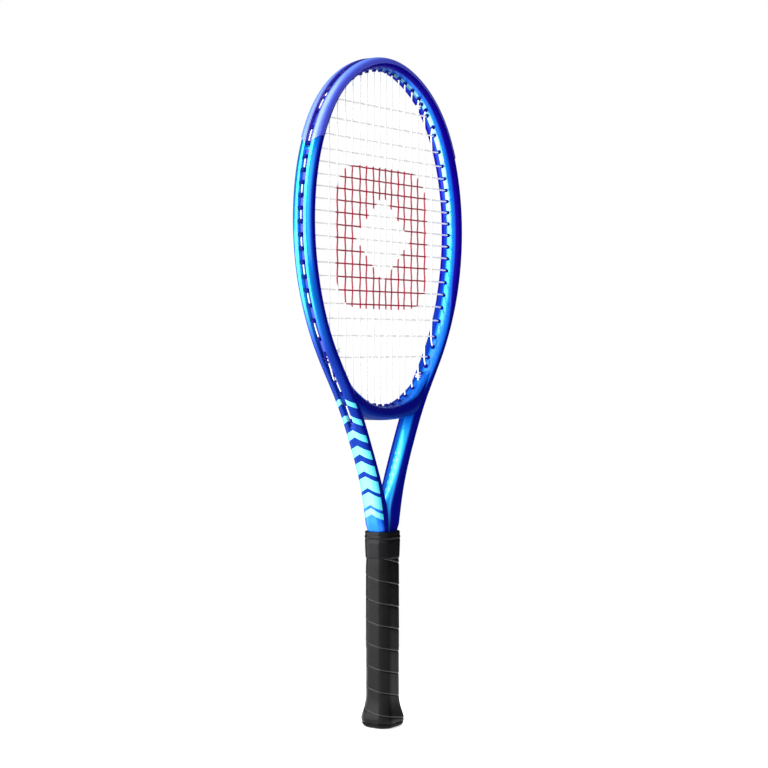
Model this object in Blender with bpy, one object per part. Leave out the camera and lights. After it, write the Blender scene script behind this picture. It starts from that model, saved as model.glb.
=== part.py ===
"""A junior tennis racket, modelled as its separate pieces.

Metres, +Z up. X runs across the head and Y through the string bed, with the front at -Y.
The origin is the centre of the butt's end face.
"""

import math

import bmesh
import bpy
import numpy as np
from mathutils import Vector

MM = 0.001
GAP = 0.3 * MM  # clearance between pieces that touch

# Frame: half outline of the hoop and shaft from the tip to the collar, as (half width, height)
OUTLINE = [
    (0.0, 659.7),
    (48.0, 649.0),
    (96.0, 613.4),
    (122.2, 567.0),
    (134.4, 494.0),
    (125.0, 429.0),
    (97.1, 367.6),
    (65.4, 321.0),
    (42.3, 278.0),
    (25.6, 238.0),
    (16.4, 200.0),
]
BEAM = 24 * MM  # depth of the frame through the string bed
WALL = 12 * MM  # nominal thickness of the frame in the plane of the strings
WALL_BY_HEIGHT = [(300, 12.0), (345, 10.0), (385, 9.7), (440, 12.2), (598, 12.0), (630, 9.8), (660, 11.0)]
THROAT_FOOT_Z = 217 * MM  # where the inner sides of the shafts meet
THROAT_SLOPE = 0.478  # half width of the throat gap per unit of height
HOOP_FOOT_Z = 300 * MM  # above this the thickness follows WALL_BY_HEIGHT
GROOVE_DEPTH = 4.2 * MM
HOOP_STEP = 16 * MM  # length of the facets along the frame
HOLLOW_STEP = 24 * MM
GROOVE_END_Z = 296 * MM
BUMPER_END_Z = 563 * MM
BUMPER_RECESS = 1.8 * MM
TANG = [(194.5, 14.7, 0.93), (183.0, 10.6, 0.72), (40.0, 10.6, 0.72)]  # z, half width, depth share

# Bridge
BRIDGE_TOP_Z = 317.5 * MM
BRIDGE_TOP_R = 92 * MM
BRIDGE_FOOT_Z = 304 * MM
BRIDGE_HALF_SPAN = 60 * MM

# String bed
STRING_HALF = 0.576 * MM  # a square of this half side has the area of a 1.3 mm string
WEAVE = 0.85 * MM
LANE = 0.75 * MM  # mains run in the front lane of the groove, crosses in the back lane
FIRST_MAIN = 5.4 * MM
MAIN_STEP = 10.1 * MM
MAIN_SPREAD = 0.06 * MM  # growth of the steps with the square of their number
MAIN_WIDE_EXTRA = {2: 1.9 * MM, 4: 1.9 * MM, 6: 0.6 * MM}  # the steps after these mains are wider
CROSS_COUNT = 19
CROSS_TOP_Z = 611.8 * MM
CROSS_STEP = 11.4 * MM
CROSS_END_EXTRA = 7.2 * MM  # the first and the last step are this much wider
CROSS_SPREAD = 0.2 * MM

# Grommets
BARREL_R = 1.7 * MM
BORE_R = 1.22 * MM
DRILL_HALF = 2.0 * MM
NUB = 1.8 * MM  # how far a barrel stands out of the inner wall
STRIP_TOP = 3.1 * MM
STRIP_FOOT = 3.9 * MM
STRIP_HALF_WIDTH = 2.5 * MM
STRING_DEPTH = 2.2 * MM  # centre of a string that lies in the groove
RAISED_DEPTH = 0.7 * MM  # centre of a string that crosses over another one there
BEND_OUT = 0.8 * MM  # a string turns this far outside the end of a barrel
EYELET_TURN = 0.35  # share of a string's own direction in its eyelet's
KNOT_R = 2.1 * MM
KNOT_TURNS = 1.6
KNOT_SIDES = 8  # points per turn
KNOT_HEIGHT = 3.5 * MM
TIE_OFFSET = 6.0 * MM  # from the eyelet of the seventh main to the tie-off eyelet beside it
SHAFT_MAIN_EXITS = {3: 303 * MM, 4: 320 * MM}  # these mains leave through the shafts, at these heights

# Handle: half sizes in X and Y, and the 45 degree corner, at the middle of the grip
GRIP_X = 14.8 * MM
GRIP_Y = 13.9 * MM
GRIP_CORNER = 6.4 * MM
GRIP_THICKNESS = 1.6 * MM
GRIP_TOP_Z = 186 * MM
TAPE_ENDS = (174.5 * MM, 184 * MM)
COLLAR_OUTER = [
    (168.0, 0.55),
    (170.0, 0.75),
    (182.0, 1.0),
    (188.2, 1.2),
    (189.2, 1.2),
    (190.0, 0.9),
    (194.2, 1.0),
]  # height and growth beyond the grip
COLLAR_NECK = (15.1 * MM, 11.7 * MM, 4.2 * MM)
COLLAR_NECK_Z = 192 * MM
COLLAR_SEAT = (174 * MM, 182 * MM, 186 * MM, 190 * MM)  # heights where it lies along the wrap
PALLET_TOP_Z = 180 * MM
PALLET_STEP_Z = 32 * MM
PALLET_FOOT_Z = 8.5 * MM
PALLET_CHAMFER = 0.8 * MM
SHAFT_CHANNEL = (11.0 * MM, 9.0 * MM)
FOOT_CHANNEL = (8.0 * MM, 6.5 * MM)
CHANNEL_CORNER = 3.0 * MM
PALLET_SKIN = 1.5 * MM  # the pallet is this much thinner inside the butt cap
BUTT_LIP = [(0.0, -0.8), (1.2, 1.8), (3.0, 3.2), (4.5, 3.5)]  # height and growth of the bare cap's edge
BUTT_FLARE = [(4.8, 3.7), (9.0, 3.7), (13.0, 2.9), (17.0, 1.9), (21.0, 1.0), (26.0, 0.35), (31.0, 0.0)]
BUTT_STAPLE = (12.9 * MM, 20 * MM, 3.9 * MM)  # outer face, height, length of the legs
STAPLES = {  # side of the string bed, distance from the middle, then the same three
    "butt_staple_front_left": (-1, -3.4 * MM, *BUTT_STAPLE),
    "butt_staple_front_right": (-1, 3.4 * MM, *BUTT_STAPLE),
    "butt_staple_back_left": (1, -3.4 * MM, *BUTT_STAPLE),
    "butt_staple_back_right": (1, 3.4 * MM, *BUTT_STAPLE),
    "grip_start_staple": (1, 0.0, 11.9 * MM, 42 * MM, 2.2 * MM),
}
STAPLE_WIRE = 0.8 * MM
STAPLE_HALF_SPAN = 2.6 * MM
DOOR_HALF = (9.0 * MM, 8.0 * MM, 3.4 * MM)
DOOR_PLATE = 2.2 * MM
DOOR_RECESS = 0.8 * MM
DOOR_LEDGE = 1.0 * MM

BLUE = (0.012, 0.02, 0.62)
NAVY = (0.01, 0.012, 0.22)
PERIWINKLE = (0.09, 0.12, 0.75)
WHITE = (0.86, 0.86, 0.84)
BLACK = (0.012, 0.012, 0.013)
FOAM = (0.75, 0.68, 0.45)
STEEL = (0.6, 0.6, 0.62)


def clear_scene():
    for item in list(bpy.data.objects):
        bpy.data.objects.remove(item)


def material(name, colour, roughness, metallic=0.0):
    made = bpy.data.materials.new(name)
    made.use_nodes = True
    shader = made.node_tree.nodes["Principled BSDF"]
    shader.inputs["Base Color"].default_value = (*colour, 1.0)
    shader.inputs["Roughness"].default_value = roughness
    shader.inputs["Metallic"].default_value = metallic
    return made


def add_object(name, bm, finish=None, smooth_deg=35):
    """A mesh object from a bmesh, with its faces turned outwards. No finish means a cutter."""
    bmesh.ops.remove_doubles(bm, verts=bm.verts, dist=0.001 * MM)
    bmesh.ops.recalc_face_normals(bm, faces=bm.faces)
    mesh = bpy.data.meshes.new(name)
    bm.to_mesh(mesh)
    bm.free()
    made = bpy.data.objects.new(name, mesh)
    bpy.context.scene.collection.objects.link(made)
    if finish is None:
        made.hide_render = True
        made.display_type = "WIRE"
        return made
    mesh.materials.append(finish)
    mesh.shade_smooth()
    mesh.set_sharp_from_angle(angle=math.radians(smooth_deg))
    return made


def add_loft(bm, rings):
    """Joins rings of points with quads, and closes the two ends."""
    loops = [[bm.verts.new(point) for point in ring] for ring in rings]
    count = len(loops[0])
    for lower, upper in zip(loops, loops[1:]):
        for i in range(count):
            j = (i + 1) % count
            bm.faces.new((lower[i], lower[j], upper[j], upper[i]))
    bm.faces.new(loops[0])
    bm.faces.new(loops[-1])


def add_sleeve(bm, outer, inner):
    """A closed tube between two lofts of equal rings."""
    rings = list(outer) + list(reversed(inner))
    rings.append(rings[0])
    loops = [[bm.verts.new(point) for point in ring] for ring in rings[:-1]]
    loops.append(loops[0])
    count = len(loops[0])
    for lower, upper in zip(loops, loops[1:]):
        for i in range(count):
            j = (i + 1) % count
            bm.faces.new((lower[i], lower[j], upper[j], upper[i]))


def boolean(target, cutter, operation="DIFFERENCE"):
    modifier = target.modifiers.new(cutter.name, "BOOLEAN")
    modifier.operation = operation
    modifier.solver = "EXACT"
    modifier.object = cutter


def spline(points, per_span=40):
    """Points along the natural cubic spline through the given points, by chord length."""
    p = np.array(points, float)
    h = np.linalg.norm(np.diff(p, axis=0), axis=1)
    n = len(p)
    left = np.eye(n)
    right = np.zeros_like(p)
    for i in range(1, n - 1):
        left[i, i - 1 : i + 2] = h[i - 1], 2 * (h[i - 1] + h[i]), h[i]
        right[i] = 6 * ((p[i + 1] - p[i]) / h[i] - (p[i] - p[i - 1]) / h[i - 1])
    m = np.linalg.solve(left, right)
    out = []
    for i in range(n - 1):
        for step in range(per_span):
            u = h[i] * step / per_span
            w = h[i] - u
            bent = (m[i] * w**3 + m[i + 1] * u**3) / (6 * h[i])
            flat = (p[i] / h[i] - m[i] * h[i] / 6) * w + (p[i + 1] / h[i] - m[i + 1] * h[i] / 6) * u
            out.append(bent + flat)
    out.append(p[-1])
    return np.array(out)


class Hoop:
    """The outer outline of the frame, by signed arc length from the tip: positive towards +X."""

    def __init__(self):
        half = [(x * MM, z * MM) for x, z in OUTLINE]
        whole = spline([(-x, z) for x, z in half[:0:-1]] + half)
        middle = len(whole) // 2
        self.p = whole[middle:]
        along = np.gradient(self.p, axis=0)
        along /= np.linalg.norm(along, axis=1)[:, None]
        self.n = np.stack([-along[:, 1], along[:, 0]], axis=1)
        self.n[0] = (0.0, 1.0)
        steps = np.linalg.norm(np.diff(self.p, axis=0), axis=1)
        self.s = np.concatenate([[0.0], np.cumsum(steps)])
        self.end = self.s[-1]
        heights, walls = zip(*WALL_BY_HEIGHT)
        self.wall = np.interp(self.p[:, 1] / MM, heights, walls) * MM

    def at(self, s):
        """(point, outward normal), each as (x, z)."""
        side = 1.0 if s >= 0 else -1.0
        point = [np.interp(abs(s), self.s, self.p[:, k]) for k in (0, 1)]
        normal = [np.interp(abs(s), self.s, self.n[:, k]) for k in (0, 1)]
        size = math.hypot(*normal)
        return (side * point[0], point[1]), (side * normal[0] / size, normal[1] / size)

    def past_wall(self, extra):
        """The line that lies extra inside the inner wall."""
        return self.p - self.n * (self.wall + extra)[:, None]

    def s_at_height(self, z):
        return float(np.interp(-z, -self.p[:, 1], self.s))

    def s_where_ray_leaves(self, start, way):
        """Arc length where a ray from a point near the inner wall crosses the outline."""
        ahead = self.p - np.array(start)
        aside = ahead[:, 0] * way[1] - ahead[:, 1] * way[0]
        near = np.linalg.norm(ahead, axis=1) < 2.2 * WALL
        return float(np.interp(0.0, aside[near], self.s[near]))

    def s_past_wall_at_height(self, z, extra):
        line = self.past_wall(extra)
        head = line[:, 1] > HOOP_FOOT_Z
        return float(np.interp(-z, -line[head, 1], self.s[head]))

    def s_past_wall_at_width(self, x, extra, top):
        """Where the line that lies extra inside the inner wall is x from the middle."""
        widths = self.past_wall(extra)[:, 0]
        widest = int(np.argmax(widths))
        if top:
            return float(np.interp(x, widths[:widest], self.s[:widest]))
        return float(np.interp(-x, -widths[widest:], self.s[widest:]))


HOOP = Hoop()


def wall_at(point, normal):
    """Thickness of the frame, from the outline to its inner side."""
    x, z = abs(point[0]), point[1]
    nx, nz = abs(normal[0]), normal[1]
    if z > HOOP_FOOT_Z:
        heights, walls = zip(*WALL_BY_HEIGHT)
        return float(np.interp(z / MM, heights, walls)) * MM
    to_gap = (x - GAP - THROAT_SLOPE * (z - THROAT_FOOT_Z)) / (nx - THROAT_SLOPE * nz)
    to_middle = (x - GAP) / nx
    return min(to_gap, to_middle)


def frame_profile(groove, recess):
    """Half of the frame's section, front side, as (depth inside the outline, distance from the middle)."""
    edge = recess
    floor = max(groove, recess + 0.02 * MM)
    return [
        (floor, 2.9 * MM),
        (edge, 3.2 * MM),
        (edge, 6.2 * MM),
        (1.4 * MM + 0.95 * recess, 9.4 * MM - 0.2 * recess),
        (4.0 * MM, 11.5 * MM),
        (7.4 * MM, BEAM / 2),
        (10.4 * MM, 9.4 * MM),
        (WALL, 4.6 * MM),
    ]


def hollow_profile():
    return [
        (5.9 * MM, 3.7 * MM),
        (3.6 * MM, 7.4 * MM),
        (5.4 * MM, 10.0 * MM),
        (8.8 * MM, 8.8 * MM),
        (10.4 * MM, 4.1 * MM),
    ]


def both_sides(half):
    """Closes a half section by mirroring it through the string bed."""
    return [(d, -v) for d, v in half] + [(d, v) for d, v in reversed(half)]


def ring_at(s, half, grow=0.0):
    """A section of the frame at arc length s. Past the groove, its depths follow the local wall."""
    point, normal = HOOP.at(s)
    share = (wall_at(point, normal) - GROOVE_DEPTH) / (WALL - GROOVE_DEPTH)
    ring = []
    for d, v in both_sides(half):
        depth = min(d, GROOVE_DEPTH) + max(0.0, d - GROOVE_DEPTH) * share
        depth += grow * (2 * d / WALL - 1)
        across = v + math.copysign(grow, v)
        ring.append((point[0] - normal[0] * depth, across, point[1] - normal[1] * depth))
    return ring


def tang_ring(level, sign, half):
    """A level section of the shaft inside the handle."""
    z, width, depth_share = level
    share = (width * MM - GAP) / WALL
    return [(sign * (width * MM - d * share), v * depth_share, z * MM) for d, v in both_sides(half)]


def stations(start, stop, step):
    count = max(2, math.ceil(abs(stop - start) / step) + 1)
    return list(np.linspace(start, stop, count))


def hairpin_solid(name, profile_of, step, finish=None, tang_end=TANG[-1][0]):
    """Sweeps a section up one shaft, round the hoop and down the other."""
    bumper_end = HOOP.s_at_height(BUMPER_END_Z)
    groove_end = HOOP.s_at_height(GROOVE_END_Z)
    half = [(s, True) for s in stations(0.0, bumper_end, step)]
    half += [(s, False) for s in stations(bumper_end + 0.4 * MM, groove_end, step)]
    half += [(s, None) for s in stations(groove_end + 6 * MM, HOOP.end, step)]
    levels = TANG[:-1] + [(tang_end, *TANG[-1][1:])]
    whole = [(-s, zone) for s, zone in reversed(half[1:])] + half
    rings = [tang_ring(level, -1, profile_of(None)) for level in reversed(levels)]
    rings += [ring_at(s, profile_of(zone)) for s, zone in whole]
    rings += [tang_ring(level, 1, profile_of(None)) for level in levels]
    bm = bmesh.new()
    add_loft(bm, rings)
    return add_object(name, bm, finish)


def frame_profile_of(zone):
    """zone is True under the bumper, False along the open groove and None on the plain shaft."""
    if zone is None:
        return frame_profile(0.0, 0.0)
    return frame_profile(GROOVE_DEPTH, BUMPER_RECESS if zone else 0.0)


def main_places():
    """Distances of the mains from the middle."""
    x = FIRST_MAIN
    places = [x]
    for i in range(1, 8):
        x += MAIN_STEP + MAIN_SPREAD * i**2 + MAIN_WIDE_EXTRA.get(i, 0.0)
        places.append(x)
    return places


def cross_heights():
    """Crosses lie closest just below the middle of the head and spread towards both ends."""
    last = CROSS_COUNT - 2
    z = CROSS_TOP_Z
    heights = [z]
    for i in range(last + 1):
        from_top = max(0.0, 1 - i / 5) ** 2
        from_foot = max(0.0, 1 - (last - i) / 4) ** 3
        z -= CROSS_STEP + CROSS_END_EXTRA * (from_top + from_foot) + CROSS_SPREAD * max(0, i - 6)
        heights.append(z)
    return heights


MAINS = main_places()
CROSSES = cross_heights()


class Eyelet:
    """One grommet hole: its axis runs from a point on the outline in to a point off the inner wall."""

    def __init__(self, outer, inner, normal, lane):
        self.outer = Vector((outer[0], lane, outer[1]))
        self.inner = Vector((inner[0], lane, inner[1]))
        self.axis = (self.inner - self.outer).normalized()
        self.cosine = -(self.axis.x * normal[0] + self.axis.z * normal[1])
        self.s = None

    def at_depth(self, depth):
        return self.outer + self.axis * (depth / self.cosine)


def square_eyelet(s, lane):
    """An eyelet square to the outline at arc length s."""
    point, normal = HOOP.at(s)
    reach = wall_at(point, normal) + NUB + BEND_OUT
    inner = (point[0] - normal[0] * reach, point[1] - normal[1] * reach)
    made = Eyelet(point, inner, normal, lane)
    made.s = s
    return made


def string_eyelet(sign, inner_s, string_way, lane):
    """An eyelet for the string that arrives at inner_s, turned a little towards that string."""
    start = square_eyelet(inner_s, lane).inner
    way = Vector(HOOP.at(inner_s)[1]) * (1 - EYELET_TURN) + Vector(string_way) * EYELET_TURN
    s = HOOP.s_where_ray_leaves((start.x, start.z), way)
    point, normal = HOOP.at(s)
    outer, facing = (sign * point[0], point[1]), (sign * normal[0], normal[1])
    made = Eyelet(outer, (sign * start.x, start.z), facing, lane)
    made.s = sign * s
    return made


def shaft_eyelet(sign, x, exit_z, lane):
    """A long eyelet from the bridge's bow down and out through the shaft."""
    s = sign * HOOP.s_at_height(exit_z)
    point, normal = HOOP.at(s)
    made = Eyelet(point, (sign * x, bow_height(x) + NUB + BEND_OUT), normal, lane)
    made.s = s
    return made


def bow_height(x):
    """Top of the bridge: an arc."""
    return BRIDGE_TOP_Z + BRIDGE_TOP_R - math.sqrt(BRIDGE_TOP_R**2 - x**2)


def bridge_foot(x):
    """Underside of the bridge: nearly flat between the shafts, then rising inside them."""
    share = abs(x) / (45 * MM)
    return BRIDGE_FOOT_Z + (3.0 * share**2 + 1.5 * share**6) * MM


def bridge_eyelet(x, lane):
    outer = (x, bridge_foot(x))
    inner = (x, bow_height(x) + NUB + BEND_OUT)
    return Eyelet(outer, inner, (0.0, -1.0), lane)


def make_eyelets():
    """Every eyelet by what runs through it: (string, index, end) with the sign of its side."""
    reach = NUB + BEND_OUT
    found = {}
    for sign in (-1, 1):
        for i, x in enumerate(MAINS):
            s_top = HOOP.s_past_wall_at_width(x, reach, top=True)
            found["main", sign, i, "top"] = string_eyelet(sign, s_top, (0.0, 1.0), -LANE)
            if i < 3:
                foot = bridge_eyelet(sign * x, -LANE)
            elif i in SHAFT_MAIN_EXITS:
                foot = shaft_eyelet(sign, x, SHAFT_MAIN_EXITS[i], -LANE)
            else:
                s_foot = HOOP.s_past_wall_at_width(x, reach, top=False)
                foot = string_eyelet(sign, s_foot, (0.0, -1.0), -LANE)
            found["main", sign, i, "foot"] = foot
        for j, z in enumerate(CROSSES):
            s_side = HOOP.s_past_wall_at_height(z, reach)
            found["cross", sign, j] = string_eyelet(sign, s_side, (1.0, 0.0), LANE)
    for sign in (-1, 1):
        beside = found["main", sign, 6, "foot"].s
        found["tie_main", sign] = square_eyelet(beside + sign * TIE_OFFSET, LANE)
    found["tie_start", 1] = square_eyelet(found["main", 1, 6, "top"].s - TIE_OFFSET, LANE)
    between = (found["main", -1, 7, "foot"].s + found["cross", -1, 18].s) / 2
    found["tie_end", -1] = square_eyelet(between, LANE)
    return found


EYELETS = make_eyelets()


def add_prism(bm, start, end, radius, sides, turn=0.0):
    """A prism with regular ends between two points."""
    axis = (end - start).normalized()
    across = Vector((0.0, 1.0, 0.0))
    other = axis.cross(across)
    rings = []
    for centre in (start, end):
        ring = []
        for k in range(sides):
            angle = 2 * math.pi * k / sides + turn
            ring.append(centre + across * (radius * math.cos(angle)) + other * (radius * math.sin(angle)))
        rings.append(ring)
    add_loft(bm, rings)


def barrels(name, eyelets):
    bm = bmesh.new()
    for eyelet in eyelets:
        start = eyelet.at_depth((STRIP_TOP + STRIP_FOOT) / 2)
        add_prism(bm, start, eyelet.inner - eyelet.axis * BEND_OUT, BARREL_R, 6)
    return add_object(name, bm)


def bores(name, eyelets):
    bm = bmesh.new()
    for eyelet in eyelets:
        add_prism(bm, eyelet.at_depth(1.0 * MM), eyelet.inner + eyelet.axis * MM, BORE_R, 6)
    return add_object(name, bm)


def drills(name, eyelets, start_depth=1.0 * MM):
    bm = bmesh.new()
    for eyelet in eyelets:
        end = eyelet.inner + eyelet.axis * 2 * MM
        add_prism(bm, eyelet.at_depth(start_depth), end, DRILL_HALF * math.sqrt(2), 4, math.pi / 4)
    return add_object(name, bm)


def make_hairpin(finish):
    hairpin = hairpin_solid("frame_hairpin", frame_profile_of, HOOP_STEP, finish)
    below_tang = TANG[-1][0] - 2
    hollow = hairpin_solid(
        "hairpin_hollow", lambda zone: hollow_profile(), HOLLOW_STEP, tang_end=below_tang
    )
    boolean(hairpin, hollow)
    through = [eyelet for eyelet in EYELETS.values() if eyelet.s is not None]
    boolean(hairpin, drills("hairpin_drills", through))


def make_bridge(finish):
    xs = np.linspace(-BRIDGE_HALF_SPAN, BRIDGE_HALF_SPAN, 17)
    rings = []
    for x in xs:
        top, foot = bow_height(x), bridge_foot(x)
        middle, half = (top + foot) / 2, (top - foot) / 2
        outline = [(1.0, 4.6 * MM), (0.78, 9.0 * MM), (0.2, BEAM / 2), (-0.45, 11.5 * MM)]
        outline += [(-0.82, 9.4 * MM), (-1.0, 6.2 * MM)]
        ring = [(x, -v, middle + k * half) for k, v in outline]
        ring += [(x, v, middle + k * half) for k, v in reversed(outline)]
        rings.append(ring)
    bm = bmesh.new()
    add_loft(bm, rings)
    bridge = add_object("throat_bridge", bm, finish)
    plain = frame_profile(0.0, 0.0)
    for sign, side in ((-1, "left"), (1, "right")):
        span = stations(sign * HOOP.s_at_height(250 * MM), sign * HOOP.s_at_height(400 * MM), 10 * MM)
        bm = bmesh.new()
        add_loft(bm, [ring_at(s, plain, GAP) for s in span])
        boolean(bridge, add_object("bridge_end_cut_" + side, bm))
    bm = bmesh.new()
    width = 2.9 * MM
    rings = []
    for x in np.linspace(-34 * MM, 34 * MM, 9):
        low, high = bridge_foot(x) - 2 * MM, bridge_foot(x) + GROOVE_DEPTH
        rings.append([(x, -width, low), (x, width, low), (x, width, high), (x, -width, high)])
    add_loft(bm, rings)
    boolean(bridge, add_object("bridge_groove", bm))
    through = [EYELETS["main", sign, i, "foot"] for sign in (-1, 1) for i in range(5)]
    boolean(bridge, drills("bridge_drills", through))


def make_bumper(finish):
    half = [
        (STRIP_TOP, 1.9 * MM),
        (-GAP, 2.3 * MM),
        (-GAP, 6.2 * MM),
        (0.9 * MM, 9.6 * MM),
        (2.8 * MM, 11.7 * MM),
        (5.6 * MM, 12.4 * MM),
        (5.6 * MM, 12.05 * MM),
        (3.65 * MM, 11.8 * MM),
        (2.5 * MM, 9.1 * MM),
        (BUMPER_RECESS - GAP, 6.1 * MM),
        (BUMPER_RECESS - GAP, 2.6 * MM),
        (STRIP_FOOT, STRIP_HALF_WIDTH),
    ]
    end = HOOP.s_at_height(BUMPER_END_Z) - GAP
    bm = bmesh.new()
    add_loft(bm, [ring_at(s, half) for s in stations(-end, end, 15 * MM)])
    bumper = add_object("bumper_guard", bm, finish)
    held = [eyelet for eyelet in EYELETS.values() if eyelet.s is not None and abs(eyelet.s) < end]
    boolean(bumper, barrels("bumper_barrels", held), "UNION")
    boolean(bumper, bores("bumper_bores", held))


def strip_section(top, foot, half_width):
    return [(top, -half_width), (top, half_width), (foot, half_width), (foot, -half_width)]


def make_side_strips(finish):
    start = HOOP.s_at_height(BUMPER_END_Z) + 1.5 * MM
    end = HOOP.s_at_height(GROOVE_END_Z) - 1.0 * MM
    for sign, side in ((-1, "left"), (1, "right")):
        rings = []
        for s in stations(sign * start, sign * end, 15 * MM):
            point, normal = HOOP.at(s)
            section = strip_section(STRIP_TOP, STRIP_FOOT, STRIP_HALF_WIDTH)
            rings.append([(point[0] - normal[0] * d, v, point[1] - normal[1] * d) for d, v in section])
        bm = bmesh.new()
        add_loft(bm, rings)
        strip = add_object("grommet_strip_" + side, bm, finish)
        held = [e for e in EYELETS.values() if e.s is not None and start < sign * e.s < end]
        boolean(strip, barrels("strip_barrels_" + side, held), "UNION")
        boolean(strip, bores("strip_bores_" + side, held))


def make_throat_strip(finish):
    rings = []
    for x in np.linspace(-33 * MM, 33 * MM, 9):
        section = strip_section(STRIP_TOP, STRIP_FOOT, STRIP_HALF_WIDTH)
        rings.append([(x, v, bridge_foot(x) + d) for d, v in section])
    bm = bmesh.new()
    add_loft(bm, rings)
    strip = add_object("throat_grommet_strip", bm, finish)
    held = [EYELETS["main", sign, i, "foot"] for sign in (-1, 1) for i in range(3)]
    boolean(strip, barrels("throat_barrels", held), "UNION")
    boolean(strip, bores("throat_bores", held))


def string_tube(name, path, finish):
    """A square tube along a path of points, with mitred corners."""
    path = [Vector(point) for point in path]
    ways = [(b - a).normalized() for a, b in zip(path, path[1:])]
    side = Vector((0.0, 1.0, 0.0))
    side = (side - ways[0] * side.dot(ways[0])).normalized()
    other = ways[0].cross(side)
    signs = ((1, 1), (-1, 1), (-1, -1), (1, -1))
    corners = [side * a * STRING_HALF + other * b * STRING_HALF for a, b in signs]
    rings = [[path[0] + corner for corner in corners]]
    for i in range(1, len(path) - 1):
        before, after = ways[i - 1], ways[i]
        mitre = (before + after).normalized()
        corners = [c - before * (c.dot(mitre) / before.dot(mitre)) for c in corners]
        rings.append([path[i] + corner for corner in corners])
        corners = [c - after * c.dot(after) for c in corners]
    rings.append([path[-1] + corner for corner in corners])
    bm = bmesh.new()
    add_loft(bm, rings)
    return add_object(name, bm, finish)


def crossing_sign(main, cross):
    return 1.0 if (main + cross) % 2 == 0 else -1.0


def main_number(sign, i):
    """Mains counted from the left, 0 to 15."""
    return 7 - i if sign < 0 else 8 + i


def main_run(sign, i):
    """Points of one main, from its foot eyelet up to its top one."""
    foot, top = EYELETS["main", sign, i, "foot"], EYELETS["main", sign, i, "top"]
    points = [foot.at_depth(STRING_DEPTH), foot.inner.copy()]
    for j in reversed(range(CROSS_COUNT)):
        z = CROSSES[j]
        reaches = MAINS[i] < EYELETS["cross", 1, j].inner.x - MM
        if reaches and foot.inner.z + 2 * MM < z < top.inner.z - 2 * MM:
            points.append(Vector((sign * MAINS[i], WEAVE * crossing_sign(main_number(sign, i), j), z)))
    return points + [top.inner.copy(), top.at_depth(STRING_DEPTH)]


def cross_run(j):
    """Points of one cross, from left to right."""
    left, right = EYELETS["cross", -1, j], EYELETS["cross", 1, j]
    points = [left.at_depth(STRING_DEPTH), left.inner.copy()]
    for number in range(16):
        sign, i = (-1, 7 - number) if number < 8 else (1, number - 8)
        low, high = EYELETS["main", sign, i, "foot"].inner.z, EYELETS["main", sign, i, "top"].inner.z
        if MAINS[i] < right.inner.x - MM and low + 2 * MM < CROSSES[j] < high - 2 * MM:
            points.append(Vector((sign * MAINS[i], -WEAVE * crossing_sign(number, j), CROSSES[j])))
    return points + [right.inner.copy(), right.at_depth(STRING_DEPTH)]


def groove_point(s, depth, lane):
    point, normal = HOOP.at(s)
    return Vector((point[0] - normal[0] * depth, lane, point[1] - normal[1] * depth))


def groove_run(start, end, lane):
    """Points of a string lying in the hoop's groove, between two eyelets and without their own points."""
    return [groove_point(s, STRING_DEPTH, lane) for s in stations(start, end, 13 * MM)[1:-1]]


def knot(eyelet, sign, i, heights):
    """A tail that comes in through its eyelet and winds round the main beside it."""
    first, last = heights
    run = main_run(sign, i)
    centre_x = sign * MAINS[i]
    centre_y = float(np.interp(first, [p.z for p in run], [p.y for p in run]))
    start = eyelet.inner
    towards = math.atan2(start.y - centre_y, start.x - centre_x)
    points = [start.copy()]
    count = round(KNOT_TURNS * KNOT_SIDES)
    for k in range(count + 1):
        angle = towards + math.pi / 5 + 2 * math.pi * k / KNOT_SIDES
        x, y = centre_x + KNOT_R * math.cos(angle), centre_y + KNOT_R * math.sin(angle)
        points.append(Vector((x, y, first + (last - first) * k / count)))
    return points


def make_main_string(finish):
    """One length: up and down from the middle out to both sides, tied off beside the seventh mains."""
    halves = []
    for sign in (-1, 1):
        points = []
        for i in range(8):
            run = main_run(sign, i)
            points += run if i % 2 == 0 else list(reversed(run))
            if i == 7:
                break
            end = "top" if i % 2 == 0 else "foot"
            here, there = EYELETS["main", sign, i, end], EYELETS["main", sign, i + 1, end]
            if here.s is not None:
                points += groove_run(here.s, there.s, -LANE)
        last, tie = EYELETS["main", sign, 7, "foot"], EYELETS["tie_main", sign]
        before = EYELETS["main", sign, 6, "foot"].s - sign * 4 * MM
        points += groove_run(last.s, before, -LANE)
        points += [groove_point(before, RAISED_DEPTH, -LANE), tie.at_depth(RAISED_DEPTH)]
        first = tie.inner.z - 1.5 * MM
        points += knot(tie, sign, 5, (first, first - KNOT_HEIGHT))
        halves.append(points)
    string_tube("main_string", list(reversed(halves[0])) + halves[1], finish)


def make_cross_string(finish):
    """One length from the knot at the upper right, side to side, to the knot at the lower left."""
    start = EYELETS["tie_start", 1]
    points = list(reversed(knot(start, 1, 5, (start.inner.z, start.inner.z - KNOT_HEIGHT))))
    points.append(start.at_depth(STRING_DEPTH))
    points += groove_run(start.s, EYELETS["cross", 1, 0].s, LANE)
    for j in range(CROSS_COUNT):
        run = cross_run(j)
        going_left = j % 2 == 0
        points += list(reversed(run)) if going_left else run
        if j + 1 < CROSS_COUNT:
            sign = -1 if going_left else 1
            points += groove_run(EYELETS["cross", sign, j].s, EYELETS["cross", sign, j + 1].s, LANE)
    end = EYELETS["tie_end", -1]
    points += groove_run(EYELETS["cross", -1, CROSS_COUNT - 1].s, end.s, LANE)
    points.append(end.at_depth(STRING_DEPTH))
    points += knot(end, -1, 6, (end.inner.z, end.inner.z + KNOT_HEIGHT))
    string_tube("cross_string", points, finish)


def octagon(half_x, half_y, corner, z):
    """A level eight-sided ring, starting at the -Y side of the +X face."""
    x_in, y_in = half_x - corner, half_y - corner
    first = [(half_x, -y_in), (half_x, y_in), (x_in, half_y), (-x_in, half_y)]
    return [(x, y, z) for x, y in first + [(-x, -y) for x, y in first]]


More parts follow.
